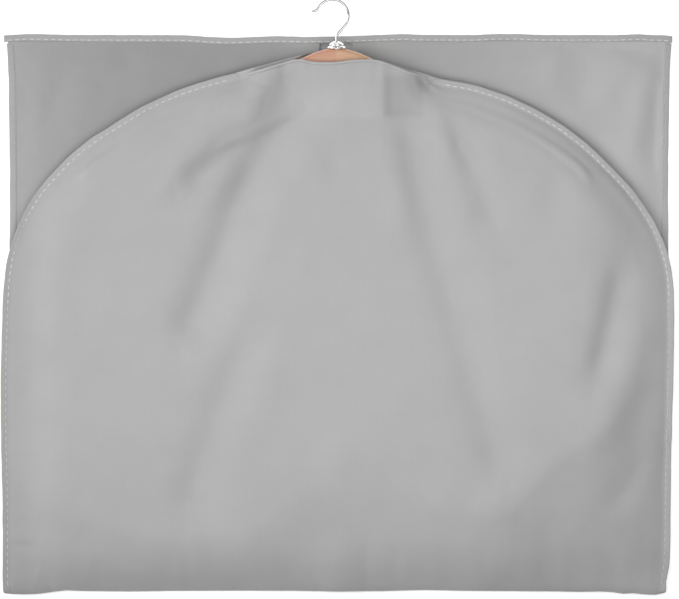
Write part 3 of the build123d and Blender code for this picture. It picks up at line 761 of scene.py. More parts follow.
def seam_stitches(side):
    sign = -1 if side == "left" else 1
    path, w, s, inward, up, n_low, n_bend = STITCH_SETS[side]
    total = s[-1]
    n = int((total - 19) / STITCH)
    st, en, us, ws, thread_shade_kinds = [], [], [], [], []
    for i in range(n):
        c = 3.0 + i * STITCH
        length = 5.3 + 0.4 * (hash01(i, 7 + sign) - 0.5)
        if np.interp(c, s, w) < 0.5:
            length = 4.0
        skew = 0.25 * (hash01(i, 9 + sign) - 0.5)
        for face in (1, -1):
            a = np.array([np.interp(c, s, path[:, k]) for k in range(3)])
            b = np.array([np.interp(min(c + length, total), s, path[:, k]) for k in range(3)])
            ia = np.array([np.interp(c, s, inward[:, k]) for k in range(3)])
            ib = np.array([np.interp(c + length, s, inward[:, k]) for k in range(3)])
            u = np.array([np.interp(c + length / 2, s, up[:, k]) for k in range(3)])
            u /= np.linalg.norm(u)
            h = 2.1 / 2 * 0.80
            if face < 0 and i % 1 == 0:
                pass
            st.append(a + ia * (STITCH_IN - skew) + u * h * face)
            en.append(b + ib * (STITCH_IN + skew) + u * h * face)
            us.append(u * face)
            ws.append(np.interp(c + length / 2, s, w))
            # 0 plain white thread on the upper half above y -10; 1 painted shade lower on the upper half and over the
            # fold; 2 deeper painted shade on the lower half
            thread_shade_kinds.append(0 if ws[-1] > 0.99 and a[1] > -10 else (1 if ws[-1] > 0.5 else 2))
    V, F, own = stitch_mesh(st, en, us, r=0.40)
    ob = make_mesh(f"seam_stitches_{side}", V, F)
    per = len(F) // len(own)
    THREAD_SHADE[side] = np.repeat(np.array(thread_shade_kinds), per)
    weights = np.zeros(len(V))
    for (b0, cnt), k in zip(own, range(len(own))):
        weights[b0:b0 + cnt] = ws[k]
    set_blend(ob)
    return ob


stitches = [seam_stitches("left"), seam_stitches("right")]


def hem_stitches():
    st, en, us = [], [], []
    x = -301.6
    i = 0
    while x < 303:
        L = 5.6 + 0.4 * (hash01(i, 21) - 0.5)
        for face in (1, -1):
            ya = np.interp(x, hem_x, hem_yt) - 4.7
            yb = np.interp(x + L, hem_x, hem_yt) - 4.7
            skew = 0.2 * (hash01(i, 22) - 0.5)
            zc = 1.55 + face * 1.0
            st.append(np.array([x, ya - skew, zc]))
            en.append(np.array([x + L, yb + skew, zc]))
            us.append(np.array([0, 0, float(face)]))
        x += STITCH
        i += 1
    V, F, _ = stitch_mesh(st, en, us, r=0.40)
    ob = make_mesh("hem_stitches", V, F)
    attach(ob, "lower_half")
    return ob


stitches.append(hem_stitches())


# ------------------------------------------------------------------ neck hems
def roll_hem(name, line2, zfun, width, height, body, nodes, lift=0.0, seed=0.0):
    c = resample(line2, step=1.5)
    z = zfun(c) + lift
    P = np.column_stack([c, z])
    n2, _ = normals2(c)
    s = along(c)
    secs = []
    for k in range(len(P)):
        q = np.linspace(0, 2 * pi, 14, endpoint=False)
        ww = width * (1 + 0.10 * noise1(s[k] / 8.0, seed)) * (0.35 + 0.65 * smooth(min(s[k], s[-1] - s[k]) / 4.0))
        a = -np.sign(np.cos(q)) * np.abs(np.cos(q)) ** 0.6 * ww / 2 + ww / 2
        h = np.sign(np.sin(q)) * np.abs(np.sin(q)) ** 0.8 * height / 2 * (0.9 + 0.1 * noise1(s[k] / 5, seed + 1))
        sec = np.column_stack([P[k, 0] + n2[k, 0] * a, P[k, 1] + n2[k, 1] * a, P[k, 2] + h])
        # the hem follows the cloth's slope away from its edge
        probe = zfun(sec[:, :2]) + lift
        sec[:, 2] = probe + h
        secs.append(sec)
    S = np.array(secs)
    m = S.shape[1]
    uv = np.stack([np.repeat(s[:, None], m, 1), np.repeat(np.arange(m)[None] * 0.6, len(s), 0)], 2).reshape(-1, 2)
    ob = tube_strip(name, S, uv=uv)
    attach(ob, body)
    if nodes:
        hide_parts(*nodes)
    return ob


neck_front = roll_hem("neck_hem_front", NECK_LINE, z_plain_up, 2.6, 2.3, "upper_half", ["neck_binding_front"], 0.25, 3.0)
back_line = split_line(EDGE_LINE, NECK_L, NECK_R)
left_part = back_line[back_line[:, 0] <= -0.8]
right_part = back_line[back_line[:, 0] >= 0.8]
neck_bl = roll_hem("neck_hem_back_left", left_part, z_zip_up, 3.6, 1.8, "upper_half", ["neck_binding_back_left"], 0.0, 5.0)
neck_br = roll_hem("neck_hem_back_right", right_part, z_zip_up, 3.6, 1.8, "upper_half", ["neck_binding_back_right"], 0.0, 6.0)


# ------------------------------------------------------------------ zip tapes, coils, stitches beside the zip
def zip_strip(name, x0, x1, sign, nodes, t, y_top, y_low, nx, dz=0.0):
    xs = np.linspace(x0, x1, nx) * sign
    if sign < 0:
        xs = xs[::-1]
    yl = np.arange(y_low, FOLD_Y, -3.0)
    yu = np.linspace(FOLD_Y, y_top, int((y_top - FOLD_Y) / 3.0))
    low = np.stack([np.stack([xs, np.full(nx, y)], 1) for y in yl])
    up = np.stack([np.stack([xs, np.full(nx, y)], 1) for y in yu])
    zl = z_zip_low(low.reshape(-1, 2)).reshape(low.shape[:2]) - dz
    zu = z_zip_up(up.reshape(-1, 2)).reshape(up.shape[:2]) + dz
    GL, GU = np.dstack([low, zl]), np.dstack([up, zu])
    reach = FOLD_Y - (zu[0] - zl[-1]) / 2
    rows, ws = bend_rows(GL, GU, reach, 12)
    G = np.concatenate([GL, np.array(rows), GU])
    ob = cloth(name, G, flat_uv(G), t)
    set_blend(ob)
    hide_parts(*nodes)
    return ob


tapes = []
for sgn, side in ((-1, "left"), (1, "right")):
    tapes.append(zip_strip(f"zip_tape_{side}", 0.7, 16.6, sgn, [f"lower_zip_tape_{side}", f"upper_zip_tape_{side}"],
                           0.5, 221.0, 230.5, 12, 0.45))


def zip_line(x, dz, y_top, y_low, step):
    yl = np.arange(y_low, FOLD_Y, -step)
    yu = np.arange(FOLD_Y, y_top, step)
    pl = np.column_stack([np.full(len(yl), x), yl])
    pu = np.column_stack([np.full(len(yu), x), yu])
    zl, zu = z_zip_low(pl) - dz, z_zip_up(pu) + dz
    r, zc = (zu[0] - zl[-1]) / 2, (zu[0] + zl[-1]) / 2
    nb = max(4, int(pi * r / step))
    a = pi * np.arange(1, nb) / nb
    bend = np.column_stack([np.full(nb - 1, x), FOLD_Y - r * np.sin(a), zc - r * np.cos(a)])
    P = np.concatenate([np.column_stack([pl, zl]), bend, np.column_stack([pu, zu])])
    w = np.concatenate([np.zeros(len(yl)), a / pi, np.ones(len(yu))])
    return P, w


def build_coil(side, sgn):
    P, w = zip_line(sgn * 1.95, 0.45 + 0.25 + 0.62, 212.0, 216.5, 0.5)
    s = along(P)
    t = np.gradient(P, axis=0)
    t /= np.linalg.norm(t, axis=1)[:, None]
    xax = np.array([1.0, 0, 0])
    nrm = np.cross(xax, t)
    per = 12
    turns = s[-1] / 2.0
    n = int(turns * (9))
    ss = np.linspace(0, s[-1], n)
    C = np.stack([np.interp(ss, s, P[:, k]) for k in range(3)], 1)
    N = np.stack([np.interp(ss, s, nrm[:, k]) for k in range(3)], 1)
    ph = 2 * pi * ss / 2.0
    centre = C + np.outer(1.22 * np.cos(ph), xax) + N * (0.42 * np.sin(ph))[:, None]
    tt = np.gradient(centre, axis=0)
    tt /= np.linalg.norm(tt, axis=1)[:, None]
    a1 = np.cross(tt, np.array([0, 0, 1.0]))
    a1 /= np.linalg.norm(a1, axis=1)[:, None]
    a2 = np.cross(tt, a1)
    q = np.arange(5) * 2 * pi / 5
    r = 0.27
    S = centre[:, None, :] + r * (np.cos(q)[None, :, None] * a1[:, None, :] + np.sin(q)[None, :, None] * a2[:, None, :])
    ob = tube_strip(f"zip_coil_{side}", S)
    set_blend(ob)
    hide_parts(f"lower_zip_coil_{side}", f"upper_zip_coil_{side}")
    return ob


coils = [build_coil("left", -1), build_coil("right", 1)]


def zip_seam(side, sgn):
    """the row of stitches that holds each tape to its panel, on the outside of the bag"""
    P, w = zip_line(sgn * 17.6, -0.2, 216.0, 227.0, 1.0)
    s = along(P)
    t = np.gradient(P, axis=0)
    t /= np.linalg.norm(t, axis=1)[:, None]
    nrm = np.cross(np.array([1.0, 0, 0]), t)        # away from the bag's inside?
    st, en, us, ws = [], [], [], []
    n = int((s[-1] - 4) / STITCH)
    for i in range(n):
        c = 2.0 + i * STITCH
        a = np.array([np.interp(c, s, P[:, k]) for k in range(3)])
        b = np.array([np.interp(c + 4.4, s, P[:, k]) for k in range(3)])
        u = np.array([np.interp(c + 2.2, s, nrm[:, k]) for k in range(3)])
        u = u / np.linalg.norm(u)
        # lower half: outside is up; upper half: outside is down
        wm = np.interp(c + 2.2, s, w)
        want = 1.0 if wm < 0.5 else -1.0
        if 0.02 < wm < 0.98:
            want = 1.0 if u[1] > 0 else -1.0
            u = u if u[1] > 0 else -u
        elif u[2] * want < 0:
            u = -u
        st.append(a + u * 0.22)
        en.append(b + u * 0.22)
        us.append(u)
        ws.append(wm)
    V, F, own = stitch_mesh(st, en, us, r=0.36, rise=0.42)
    ob = make_mesh(f"zip_stitches_{side}", V, F)
    weights = np.zeros(len(V))
    for k, (b0, cnt) in enumerate(own):
        weights[b0:b0 + cnt] = ws[k]
    set_blend(ob)
    return ob


stitches += [zip_seam("left", -1), zip_seam("right", 1)]


# ------------------------------------------------------------------ hook and collar
def build_hook():
    C, R, BY, BR = (-3.7, 255.1), 14.6, 237.2, 5.0
    D = hypot(C[0], C[1] - BY)
    run = sqrt(D ** 2 - R ** 2)
    A = pi / 2 - (atan2(C[1] - BY, C[0]) - asin(R / D))
    pts = [(0.0, y) for y in np.arange(202.2, BY - BR * tan(A / 2), 0.6)]
    x, y, h = 0.0, BY - BR * tan(A / 2), pi / 2

    def arc(radius, angle, step=0.45):
        nonlocal x, y, h
        n = max(2, int(abs(angle) * radius / step))
        for _ in range(n):
            d = angle / n
            x += radius * 2 * sin(abs(d) / 2) * cos(h + d / 2)
            y += radius * 2 * sin(abs(d) / 2) * sin(h + d / 2)
            h += d
            pts.append((x, y))

    def line(length, step=0.6):
        nonlocal x, y
        n = max(1, int(length / step))
        for _ in range(n):
            x += length / n * cos(h)
            y += length / n * sin(h)
            pts.append((x, y))

    pts.append((x, y))
    arc(BR, -A)
    line(run - BR * tan(A / 2))
    arc(R, A + radians(154))
    arc(3.6, radians(-62))
    line(1.6)
    P = np.array(pts)
    keep = np.concatenate([[True], np.linalg.norm(np.diff(P, axis=0), axis=1) > 1e-4])
    P = P[keep]
    n2, t2 = normals2(P)
    q = np.arange(24) * 2 * pi / 24
    radius = np.full(len(P), 1.3)
    S = [np.column_stack([P[k, 0] + n2[k, 0] * radius[k] * np.cos(q), P[k, 1] + n2[k, 1] * radius[k] * np.cos(q),
                          HANGER_Z + radius[k] * np.sin(q)]) for k in range(len(P))]
    # rounded end
    for a in np.linspace(0.15, 1.5, 7):
        c = P[-1] + t2[-1] * 1.3 * sin(a)
        S.append(np.column_stack([c[0] + n2[-1, 0] * 1.3 * cos(a) * np.cos(q), c[1] + n2[-1, 1] * 1.3 * cos(a) * np.cos(q),
                                  HANGER_Z + 1.3 * cos(a) * np.sin(q)]))
    # the head that keeps it in its sleeve
    head = [(0.2, 201.2), (2.5, 201.2), (2.85, 201.5), (2.85, 202.4), (2.5, 202.8), (1.3, 202.85)]
    H = [np.column_stack([r * np.cos(q), np.full(24, yy), HANGER_Z + r * np.sin(q)]) for r, yy in head]
    S = H + S
    ob = tube_strip("hook_wire", np.array(S))
    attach(ob, "hook")
    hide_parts("hanger_hook")
    return ob


hook = build_hook()


def build_collar():
    """domed metal collar: lower flange, groove, dome, and a slot on its front"""
    y0 = 224.3
    prof = [(1.42, 0.0), (7.6, 0.0), (8.0, 0.25), (8.1, 0.7), (8.05, 1.3), (7.8, 1.9), (7.35, 2.45), (6.95, 2.75),
            (6.45, 2.9), (6.0, 3.0), (5.9, 3.2), (6.05, 3.4), (6.35, 3.5), (6.45, 3.7), (6.4, 4.1), (6.1, 4.7),
            (5.5, 5.4), (4.7, 6.05), (3.8, 6.6), (3.0, 6.95), (2.4, 7.25), (1.9, 7.45), (1.42, 7.5)]
    prof = [(r if r < 2 else 1.42 + (r - 1.42) * 1.15, h) for r, h in prof]
    n = 72
    V, F = [], []
    for k in range(n):
        a = 2 * pi * k / n
        for j, (r, h) in enumerate(prof):
            rr = r
            # narrow upright slot at the front, and a small round eye under it
            da = (a - pi / 2 + pi) % (2 * pi) - pi
            if 3.4 <= h <= 6.4:
                rr = r - 1.5 * np.exp(-(da * r / 0.75) ** 2)
            elif h < 2.6 and r > 5:
                rr = r - 1.3 * np.exp(-(da * r / 0.9) ** 2) * np.exp(-((h - 1.2) / 0.8) ** 2)
            V.append((rr * cos(a), y0 + h, HANGER_Z + rr * sin(a)))
    m = len(prof)
    for k in range(n):
        for j in range(m):
            a = k * m + j
            b = k * m + (j + 1) % m
            c = ((k + 1) % n) * m + (j + 1) % m
            d = ((k + 1) % n) * m + j
            F.append((a, b, c, d))
    ob = make_mesh("hook_collar_cap", V, F)
    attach(ob, "upper_half")
    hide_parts("hook_collar")
    return ob


collar = build_collar()


# ------------------------------------------------------------------ materials
def material(name):
    m = bpy.data.materials.new(name)
    m.use_nodes = True
    nt = m.node_tree
    nt.nodes.clear()
    out = nt.nodes.new("ShaderNodeOutputMaterial")
    b = nt.nodes.new("ShaderNodeBsdfPrincipled")
    nt.links.new(b.outputs[0], out.inputs[0])
    return m, nt, b


def node(nt, kind, **kw):
    n = nt.nodes.new(kind)
    for k, v in kw.items():
        if k.startswith("i_"):
            key = k[2:]
            n.inputs[int(key) if key.isdigit() else key.replace("_", " ")].default_value = v
        else:
            setattr(n, k, v)
    return n


def math(nt, op, a, b=None, clamp=False):
    n = nt.nodes.new("ShaderNodeMath")
    n.operation = op
    n.use_clamp = clamp
    for k, v in enumerate((a, b)):
        if v is None:
            continue
        if isinstance(v, (int, float)):
            n.inputs[k].default_value = v
        else:
            nt.links.new(v, n.inputs[k])
    return n.outputs[0]


def grey(v):
    return (v, v, v, 1)


def nonwoven(name, base, strength=0.32, pitch=1.5, edge_wear=False):
    """spun-bonded cloth: crossed diagonal rows of bond points, cloudy fibre density, fine fibres"""
    m, nt, b = material(name)
    uv = node(nt, "ShaderNodeUVMap", uv_map="flat")
    mp = node(nt, "ShaderNodeMapping")
    nt.links.new(uv.outputs[0], mp.inputs[0])
    sep = node(nt, "ShaderNodeSeparateXYZ")
    nt.links.new(mp.outputs[0], sep.inputs[0])
    k = 2 * pi / (pitch * MM)
    # rows at 45 and 135 degrees
    p = math(nt, "ADD", math(nt, "MULTIPLY", sep.outputs[0], k * 0.7071), math(nt, "MULTIPLY", sep.outputs[1], k * 0.7071))
    q = math(nt, "SUBTRACT", math(nt, "MULTIPLY", sep.outputs[0], k * 0.7071), math(nt, "MULTIPLY", sep.outputs[1], k * 0.7071))
    sp, sq = math(nt, "SINE", p), math(nt, "SINE", q)
    bond = math(nt, "MULTIPLY", sp, sq)
    bond = math(nt, "ADD", math(nt, "MULTIPLY", bond, 0.5), 0.5)
    fib = node(nt, "ShaderNodeTexNoise", i_Scale=2200.0, i_Detail=3.0, i_Roughness=0.6)
    nt.links.new(mp.outputs[0], fib.inputs["Vector"])
    cloud = node(nt, "ShaderNodeTexNoise", i_Scale=34.0, i_Detail=4.0, i_Roughness=0.62)
    nt.links.new(mp.outputs[0], cloud.inputs["Vector"])
    h = math(nt, "ADD", math(nt, "MULTIPLY", bond, 0.75), math(nt, "MULTIPLY", fib.outputs[0], 0.45))
    bump = node(nt, "ShaderNodeBump", i_Strength=strength, i_Distance=0.00022)
    nt.links.new(h, bump.inputs["Height"])
    nt.links.new(bump.outputs[0], b.inputs["Normal"])
    tone = math(nt, "ADD", math(nt, "MULTIPLY", cloud.outputs[0], 0.45),
                math(nt, "ADD", math(nt, "MULTIPLY", bond, 0.40), math(nt, "MULTIPLY", fib.outputs[0], 0.15)))
    ramp = node(nt, "ShaderNodeValToRGB")
    e = ramp.color_ramp.elements
    e[0].position, e[0].color = 0.25, grey(base * 0.935)
    e[1].position, e[1].color = 0.75, grey(base * 1.065)
    nt.links.new(tone, ramp.inputs[0])
    # painted shade and painted light: the per-vertex tone attribute darkens and lightens the base colour
    painted_shading_attr = node(nt, "ShaderNodeAttribute", attribute_name="tone")
    mix = node(nt, "ShaderNodeMix", data_type="RGBA", blend_type="MULTIPLY")
    mix.inputs["Factor"].default_value = 1.0
    nt.links.new(ramp.outputs[0], mix.inputs["A"])
    nt.links.new(painted_shading_attr.outputs["Color"], mix.inputs["B"])
    nt.links.new(mix.outputs["Result"], b.inputs["Base Color"])
    rr = math(nt, "ADD", math(nt, "MULTIPLY", cloud.outputs[0], 0.16), 0.66)
    nt.links.new(rr, b.inputs["Roughness"])
    b.inputs["Specular IOR Level"].default_value = 0.32
    b.inputs["Sheen Weight"].default_value = 0.10
    b.inputs["Sheen Roughness"].default_value = 0.5
    return m


CLOTH_GREY = 0.40
m_cloth = nonwoven("nonwoven_grey", CLOTH_GREY)
m_bind = nonwoven("binding_grey", CLOTH_GREY * 0.98, 0.30, 1.35)
# a 4% paler copy of the panel cloth for the rolled neck hems: painted light
m_hem_painted_light = nonwoven("hem_roll_painted_light", CLOTH_GREY * 1.04, 0.26, 1.35)


def thread_material(name, lo, hi):
    m, nt, b = material(name)
    tc = node(nt, "ShaderNodeTexCoord")
    w = node(nt, "ShaderNodeTexWave", i_Scale=620.0, i_Distortion=1.2, i_Detail=1.0)
    w.bands_direction = "DIAGONAL"
    nt.links.new(tc.outputs["Object"], w.inputs["Vector"])
    bump = node(nt, "ShaderNodeBump", i_Strength=0.35, i_Distance=0.00012)
    nt.links.new(w.outputs["Fac"], bump.inputs["Height"])
    nt.links.new(bump.outputs[0], b.inputs["Normal"])
    r = node(nt, "ShaderNodeValToRGB")
    r.color_ramp.elements[0].color = grey(lo)
    r.color_ramp.elements[1].color = grey(hi)
    nt.links.new(w.outputs["Fac"], r.inputs[0])
    nt.links.new(r.outputs[0], b.inputs["Base Color"])
    b.inputs["Roughness"].default_value = 0.55
    b.inputs["Sheen Weight"].default_value = 0.2
    return m


m_thread = thread_material("thread_white", 0.62, 0.78)
# darker copies of the same thread: painted shade on the seam's stitches lower on the bag and on the lower half
m_thread_painted_shade = thread_material("thread_painted_shade", 0.48, 0.60)
m_thread_painted_deep_shade = thread_material("thread_painted_deep_shade", 0.40, 0.50)


def tape_material():
    m, nt, b = material("zip_tape_woven")
    uv = node(nt, "ShaderNodeUVMap", uv_map="flat")
    sep = node(nt, "ShaderNodeSeparateXYZ")
    nt.links.new(uv.outputs[0], sep.inputs[0])
    k = 2 * pi / 0.0011
    chev = math(nt, "ABSOLUTE", math(nt, "SINE", math(nt, "MULTIPLY", sep.outputs[0], 2 * pi / 0.0064)))
    v = math(nt, "ADD", math(nt, "MULTIPLY", sep.outputs[1], k), math(nt, "MULTIPLY", chev, 5.0))
    wv = math(nt, "MULTIPLY", math(nt, "SINE", v), math(nt, "SINE", math(nt, "MULTIPLY", sep.outputs[0], k * 1.3)))
    h = math(nt, "ADD", math(nt, "MULTIPLY", wv, 0.5), 0.5)
    bump = node(nt, "ShaderNodeBump", i_Strength=0.4, i_Distance=0.0002)
    nt.links.new(h, bump.inputs["Height"])
    nt.links.new(bump.outputs[0], b.inputs["Normal"])
    r = node(nt, "ShaderNodeValToRGB")
    r.color_ramp.elements[0].color = grey(0.34)
    r.color_ramp.elements[1].color = grey(0.40)
    nt.links.new(h, r.inputs[0])
    nt.links.new(r.outputs[0], b.inputs["Base Color"])
    b.inputs["Roughness"].default_value = 0.8
    b.inputs["Sheen Weight"].default_value = 0.15
    return m


def plastic_material(name, c0, c1, rough=0.35, scale=900.0):
    m, nt, b = material(name)
    tc = node(nt, "ShaderNodeTexCoord")
    n = node(nt, "ShaderNodeTexNoise", i_Scale=scale, i_Detail=2.0)
    nt.links.new(tc.outputs["Object"], n.inputs["Vector"])
    r = node(nt, "ShaderNodeValToRGB")
    r.color_ramp.elements[0].color = c0
    r.color_ramp.elements[1].color = c1
    nt.links.new(n.outputs[0], r.inputs[0])
    nt.links.new(r.outputs[0], b.inputs["Base Color"])
    bump = node(nt, "ShaderNodeBump", i_Strength=0.08, i_Distance=0.0001)
    nt.links.new(n.outputs[0], bump.inputs["Height"])
    nt.links.new(bump.outputs[0], b.inputs["Normal"])
    b.inputs["Roughness"].default_value = rough
    return m


def metal_material(name, c0, c1, r0, r1, scale=260.0, bumpy=0.03):
    m, nt, b = material(name)
    tc = node(nt, "ShaderNodeTexCoord")
    n = node(nt, "ShaderNodeTexNoise", i_Scale=scale, i_Detail=5.0, i_Roughness=0.65)
    nt.links.new(tc.outputs["Object"], n.inputs["Vector"])
    r = node(nt, "ShaderNodeValToRGB")
    r.color_ramp.elements[0].color = c0
    r.color_ramp.elements[1].color = c1
    nt.links.new(n.outputs[0], r.inputs[0])
    nt.links.new(r.outputs[0], b.inputs["Base Color"])
    nt.links.new(math(nt, "ADD", math(nt, "MULTIPLY", n.outputs[0], r1 - r0), r0), b.inputs["Roughness"])
    bump = node(nt, "ShaderNodeBump", i_Strength=bumpy, i_Distance=0.0002)
    nt.links.new(n.outputs[0], bump.inputs["Height"])
    nt.links.new(bump.outputs[0], b.inputs["Normal"])
    b.inputs["Metallic"].default_value = 1.0
    return m


def wood_material(name, pale, dark, seed):
    """lacquered beech: rings stretched along the arm, short ray flecks, a hard clear coat"""
    m, nt, b = material(name)
    tc = node(nt, "ShaderNodeTexCoord")
    mp = node(nt, "ShaderNodeMapping")
    mp.inputs["Location"].default_value = (seed, seed * 0.7, 0)
    mp.inputs["Rotation"].default_value = (0, 0, radians(-27 if seed > 1 else 27))
    mp.inputs["Scale"].default_value = (9, 130, 130)
    nt.links.new(tc.outputs["Object"], mp.inputs[0])
    g = node(nt, "ShaderNodeTexNoise", i_Scale=1.0, i_Detail=6.0, i_Roughness=0.6, i_Distortion=0.7)
    nt.links.new(mp.outputs[0], g.inputs["Vector"])
    mp2 = node(nt, "ShaderNodeMapping")
    mp2.inputs["Scale"].default_value = (160, 1500, 1500)
    mp2.inputs["Rotation"].default_value = (0, 0, radians(-27 if seed > 1 else 27))
    nt.links.new(tc.outputs["Object"], mp2.inputs[0])
    fl = node(nt, "ShaderNodeTexNoise", i_Scale=1.0, i_Detail=2.0)
    nt.links.new(mp2.outputs[0], fl.inputs["Vector"])
    v = math(nt, "ADD", math(nt, "MULTIPLY", g.outputs[0], 0.75), math(nt, "MULTIPLY", fl.outputs[0], 0.25))
    r = node(nt, "ShaderNodeValToRGB")
    r.color_ramp.elements[0].position, r.color_ramp.elements[0].color = 0.32, dark
    r.color_ramp.elements[1].position, r.color_ramp.elements[1].color = 0.68, pale
    nt.links.new(v, r.inputs[0])
    nt.links.new(r.outputs[0], b.inputs["Base Color"])
    bump = node(nt, "ShaderNodeBump", i_Strength=0.10, i_Distance=0.0002)
    nt.links.new(v, bump.inputs["Height"])
    nt.links.new(bump.outputs[0], b.inputs["Normal"])
    b.inputs["Roughness"].default_value = 0.38
    wavy = node(nt, "ShaderNodeTexNoise", i_Scale=190.0, i_Detail=1.0)
    nt.links.new(tc.outputs["Object"], wavy.inputs["Vector"])
    cb = node(nt, "ShaderNodeBump", i_Strength=0.5, i_Distance=0.0009)
    nt.links.new(wavy.outputs[0], cb.inputs["Height"])
    nt.links.new(cb.outputs[0], b.inputs["Coat Normal"])
    b.inputs["Coat Weight"].default_value = 0.9
    b.inputs["Coat Roughness"].default_value = 0.10
    return m


m_tape = tape_material()
m_coil = plastic_material("zip_coil_nylon", grey(0.30), grey(0.38), 0.32)
m_chrome = metal_material("chrome_wire", grey(0.60), grey(0.74), 0.10, 0.20)
m_collar = metal_material("collar_plate", grey(0.84), grey(0.96), 0.12, 0.26)
m_steel = metal_material("sleeve_steel", grey(0.45), grey(0.6), 0.25, 0.4)
m_zip = metal_material("zip_nickel", grey(0.52), grey(0.66), 0.22, 0.36)
m_wood_l = wood_material("beech_left", (0.66, 0.36, 0.24, 1), (0.50, 0.25, 0.155, 1), 0.3)
m_wood_r = wood_material("beech_right", (0.68, 0.42, 0.27, 1), (0.54, 0.31, 0.185, 1), 1.7)


def paint(ob, mat):
    ob.data.materials.clear()
    ob.data.materials.append(mat)


for o in (plain, zip_l, zip_r):
    paint(o, m_cloth)
for o in (bind_l, bind_r, hem):
    paint(o, m_bind)
for o in (neck_front, neck_bl, neck_br):
    paint(o, m_hem_painted_light)
for o in stitches:
    paint(o, m_thread)
# the seam's stitches get the painted-shade copies of the thread by where they sit
for o, side in ((stitches[0], "left"), (stitches[1], "right")):
    o.data.materials.append(m_thread_painted_shade)
    o.data.materials.append(m_thread_painted_deep_shade)
    o.data.polygons.foreach_set("material_index", THREAD_SHADE[side].astype(np.int32))
for o in tapes:
    paint(o, m_tape)
for o in coils:
    paint(o, m_coil)
paint(hook, m_chrome)
paint(collar, m_collar)


def paint_node(name, mat):
    o = NODES[name]
    for k in range(max(1, len(o.material_slots))):
        if len(o.material_slots) == 0:
            o.data.materials.append(mat)
        else:
            o.material_slots[k].material = mat
    o.data.polygons.foreach_set("use_smooth", [p.use_smooth for p in o.data.polygons])


for n, mat in (("hanger_arm_left", m_wood_l), ("hanger_arm_right", m_wood_r), ("hanger_dowels", m_wood_r),
               ("hook_sleeve", m_steel), ("zip_slider", m_zip), ("zip_pull_tab", m_zip),
               ("zip_bottom_stop", m_coil), ("zip_top_stops", m_coil)):
    paint_node(n, mat)

def tone(ob, fun):
    """painted shade and painted light on the cloth, one grey factor per vertex"""
    co = np.zeros(len(ob.data.vertices) * 3, np.float32)
    ob.data.vertices.foreach_get("co", co)
    co = co.reshape(-1, 3) / MM
    v = fun(co[:, 0], co[:, 1], co[:, 2])
    a = ob.data.color_attributes.new("tone", "FLOAT_COLOR", "POINT")
    a.data.foreach_set("color", np.repeat(v[:, None], 4, 1).astype(np.float32).ravel())


def painted_shading_zip(x, y, z):
    # stand-in for shading on the seen strip, set against the picture's brightness
    near_hem = smooth((y + 20) / 140.0) * (z < 9.0)
    t = lerp([(-306, 0.95), (-260, 0.87), (-200, 0.79), (-110, 0.76), (-60, 0.79), (-20, 0.94), (20, 0.92),
              (70, 0.90), (120, 0.93), (170, 1.0), (230, 1.06), (306, 1.11)], x)
    return 1 + (t - 1) * near_hem + 0.012 * noise2(x / 30.0, y / 30.0, 8.0)


def box(x, y, x0, x1, y0, y1, soft=2.5):
    fx = smooth((x - x0) / soft + 0.5) * smooth((x1 - x) / soft + 0.5)
    return fx * smooth((y - y0) / soft + 0.5) * smooth((y1 - y) / soft + 0.5)


def painted_shading_plain(x, y, z):
    v = np.ones(len(x))
    # painted light on the flat patch over the hanger's centre block, and painted shade in the hollow on its right
    v += 0.02 * box(x, y, -48, 41, 161, 206, 5.0) + 0.03 * box(x, y, -12, 38, 161, 190, 9.0)
    v -= 0.10 * box(x, y, 43, 78, 163, 200, 5.0)
    # stand-ins for shading, matched to the picture's brightness
    P = np.column_stack([x, y])
    for line, amount, w in (([(-50, 198), (-62, 168), (-74, 142), (-90, 112), (-108, 80)], 0.15, 12.0),
                            ([(-88, 152), (-112, 133), (-146, 103)], 0.06, 9.0)):
        c = chaikin(line, 2)
        q, sq, _ = distance(P, c)
        v -= amount * np.exp(-(q / w) ** 2) * smooth((along(c)[-1] - sq) / 50.0 + 0.15)
    low = lerp([(-300, 0.02), (-60, 0.025), (120, 0.03), (160, 0.085), (220, 0.08), (250, 0.05), (300, 0.0)], x)
    v -= low * smooth((lerp(ROLL, x) - y) / 16.0) * (y < 100)
    v -= 0.055 * smooth((-216 - y) / 34.0)
    v -= 0.11 * smooth((-258 - x) / 34.0)
    v += 0.09 * smooth((x - 262) / 24.0) * smooth((y + 150) / 60.0) * smooth((110 - y) / 60.0)
    q, sq, _ = distance(P, split_line(EDGE_LINE, NECK_R, EDGE[-1]))
    v += 0.13 * np.exp(-((q - 14.0) / 6.5) ** 2) * smooth((x - 84) / 20.0) * smooth((y - 40) / 50.0)
    # only on the half that lies uppermost
    return 1 + (v - 1) * smooth((z - 2.5) / 3.0) + 0.012 * noise2(x / 46.0, y / 46.0, 6.0)


# painted shade and painted light, written into each cloth piece's tone attribute
for o in (zip_l, zip_r):
    tone(o, painted_shading_zip)
for o in (plain, bind_l, bind_r, hem, neck_front, neck_bl, neck_br):
    tone(o, painted_shading_plain)

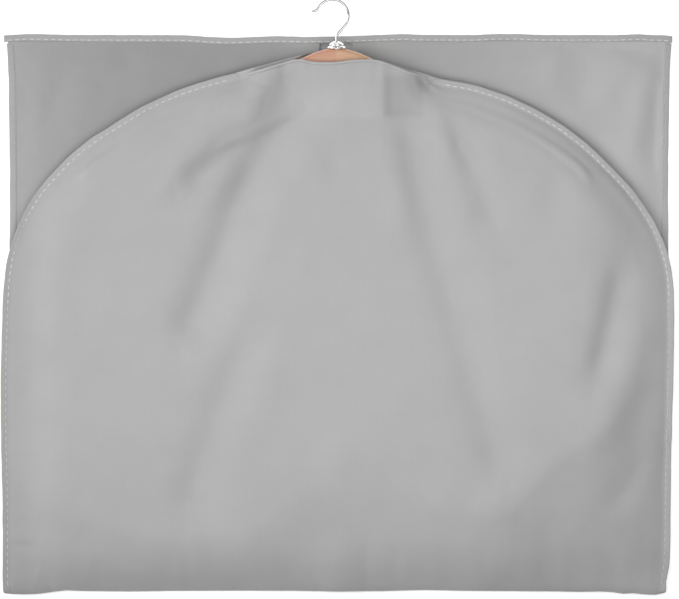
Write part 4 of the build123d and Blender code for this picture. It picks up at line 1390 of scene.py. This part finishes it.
# ------------------------------------------------------------------ stage, light, camera
me = bpy.data.meshes.new("floor")
me.from_pydata([(-6, -6, -0.0004), (6, -6, -0.0004), (6, 6, -0.0004), (-6, 6, -0.0004)], [], [(0, 1, 2, 3)])
floor = bpy.data.objects.new("floor", me)
bpy.context.scene.collection.objects.link(floor)
fm, fnt, fb = material("floor_white")
fn = node(fnt, "ShaderNodeTexNoise", i_Scale=3.0)
fr = node(fnt, "ShaderNodeValToRGB")
fr.color_ramp.elements[0].color = grey(0.93)
fr.color_ramp.elements[1].color = grey(0.95)
fnt.links.new(fn.outputs[0], fr.inputs[0])
fnt.links.new(fr.outputs[0], fb.inputs["Base Color"])
fb.inputs["Roughness"].default_value = 0.9
fb.inputs["Specular IOR Level"].default_value = 0.1
fb.inputs["Emission Color"].default_value = (1, 1, 1, 1)
fb.inputs["Emission Strength"].default_value = 0.45
me.materials.append(fm)

scene = bpy.context.scene
scene.view_settings.view_transform = "Standard"
scene.view_settings.look = "None"
scene.view_settings.exposure = 0.0
scene.view_settings.gamma = 1.0

world = bpy.data.worlds.new("studio")
world.use_nodes = True
world.node_tree.nodes["Background"].inputs[0].default_value = (1, 1, 1, 1)
world.node_tree.nodes["Background"].inputs[1].default_value = 0.30
scene.world = world


def area_light(name, loc, target, size, power):
    L = bpy.data.lights.new(name, "AREA")
    L.shape = "SQUARE"
    L.size = size
    L.energy = power
    o = bpy.data.objects.new(name, L)
    scene.collection.objects.link(o)
    o.location = loc
    d = np.array(target, float) - np.array(loc, float)
    from mathutils import Vector
    o.rotation_euler = Vector(d).to_track_quat("-Z", "Y").to_euler()
    return o


key = area_light("key", (-0.12, 0.01, 0.70), (-0.12, 0.01, 0), 1.3, 4.55)
key.data.shape = "RECTANGLE"
key.data.size, key.data.size_y = 1.5, 0.34
key.visible_camera = False
fill = area_light("fill", (0.35, 0.0, 1.6), (0, 0, 0), 1.2, 1.6)
fill.visible_camera = False
sun_data = bpy.data.lights.new("side", "SUN")
sun_data.energy = 1.2
sun_data.angle = radians(24)
sun = bpy.data.objects.new("side", sun_data)
scene.collection.objects.link(sun)
sun.rotation_euler = (radians(-14), radians(-58), 0)

cam_data = bpy.data.cameras.new("camera")
cam = bpy.data.objects.new("camera", cam_data)
scene.collection.objects.link(cam)
CAM_H = 2.6
cam_data.sensor_fit = "HORIZONTAL"
cam_data.sensor_width = 36.0
VIEW_W = 0.6191
SUBJECT_Z = 0.012
cam_data.lens = 36.0 * (CAM_H - SUBJECT_Z) / VIEW_W
cam_data.clip_end = 50
cam.location = (0.0027, -0.0029, CAM_H)
cam.rotation_euler = (0, 0, 0)
scene.camera = cam
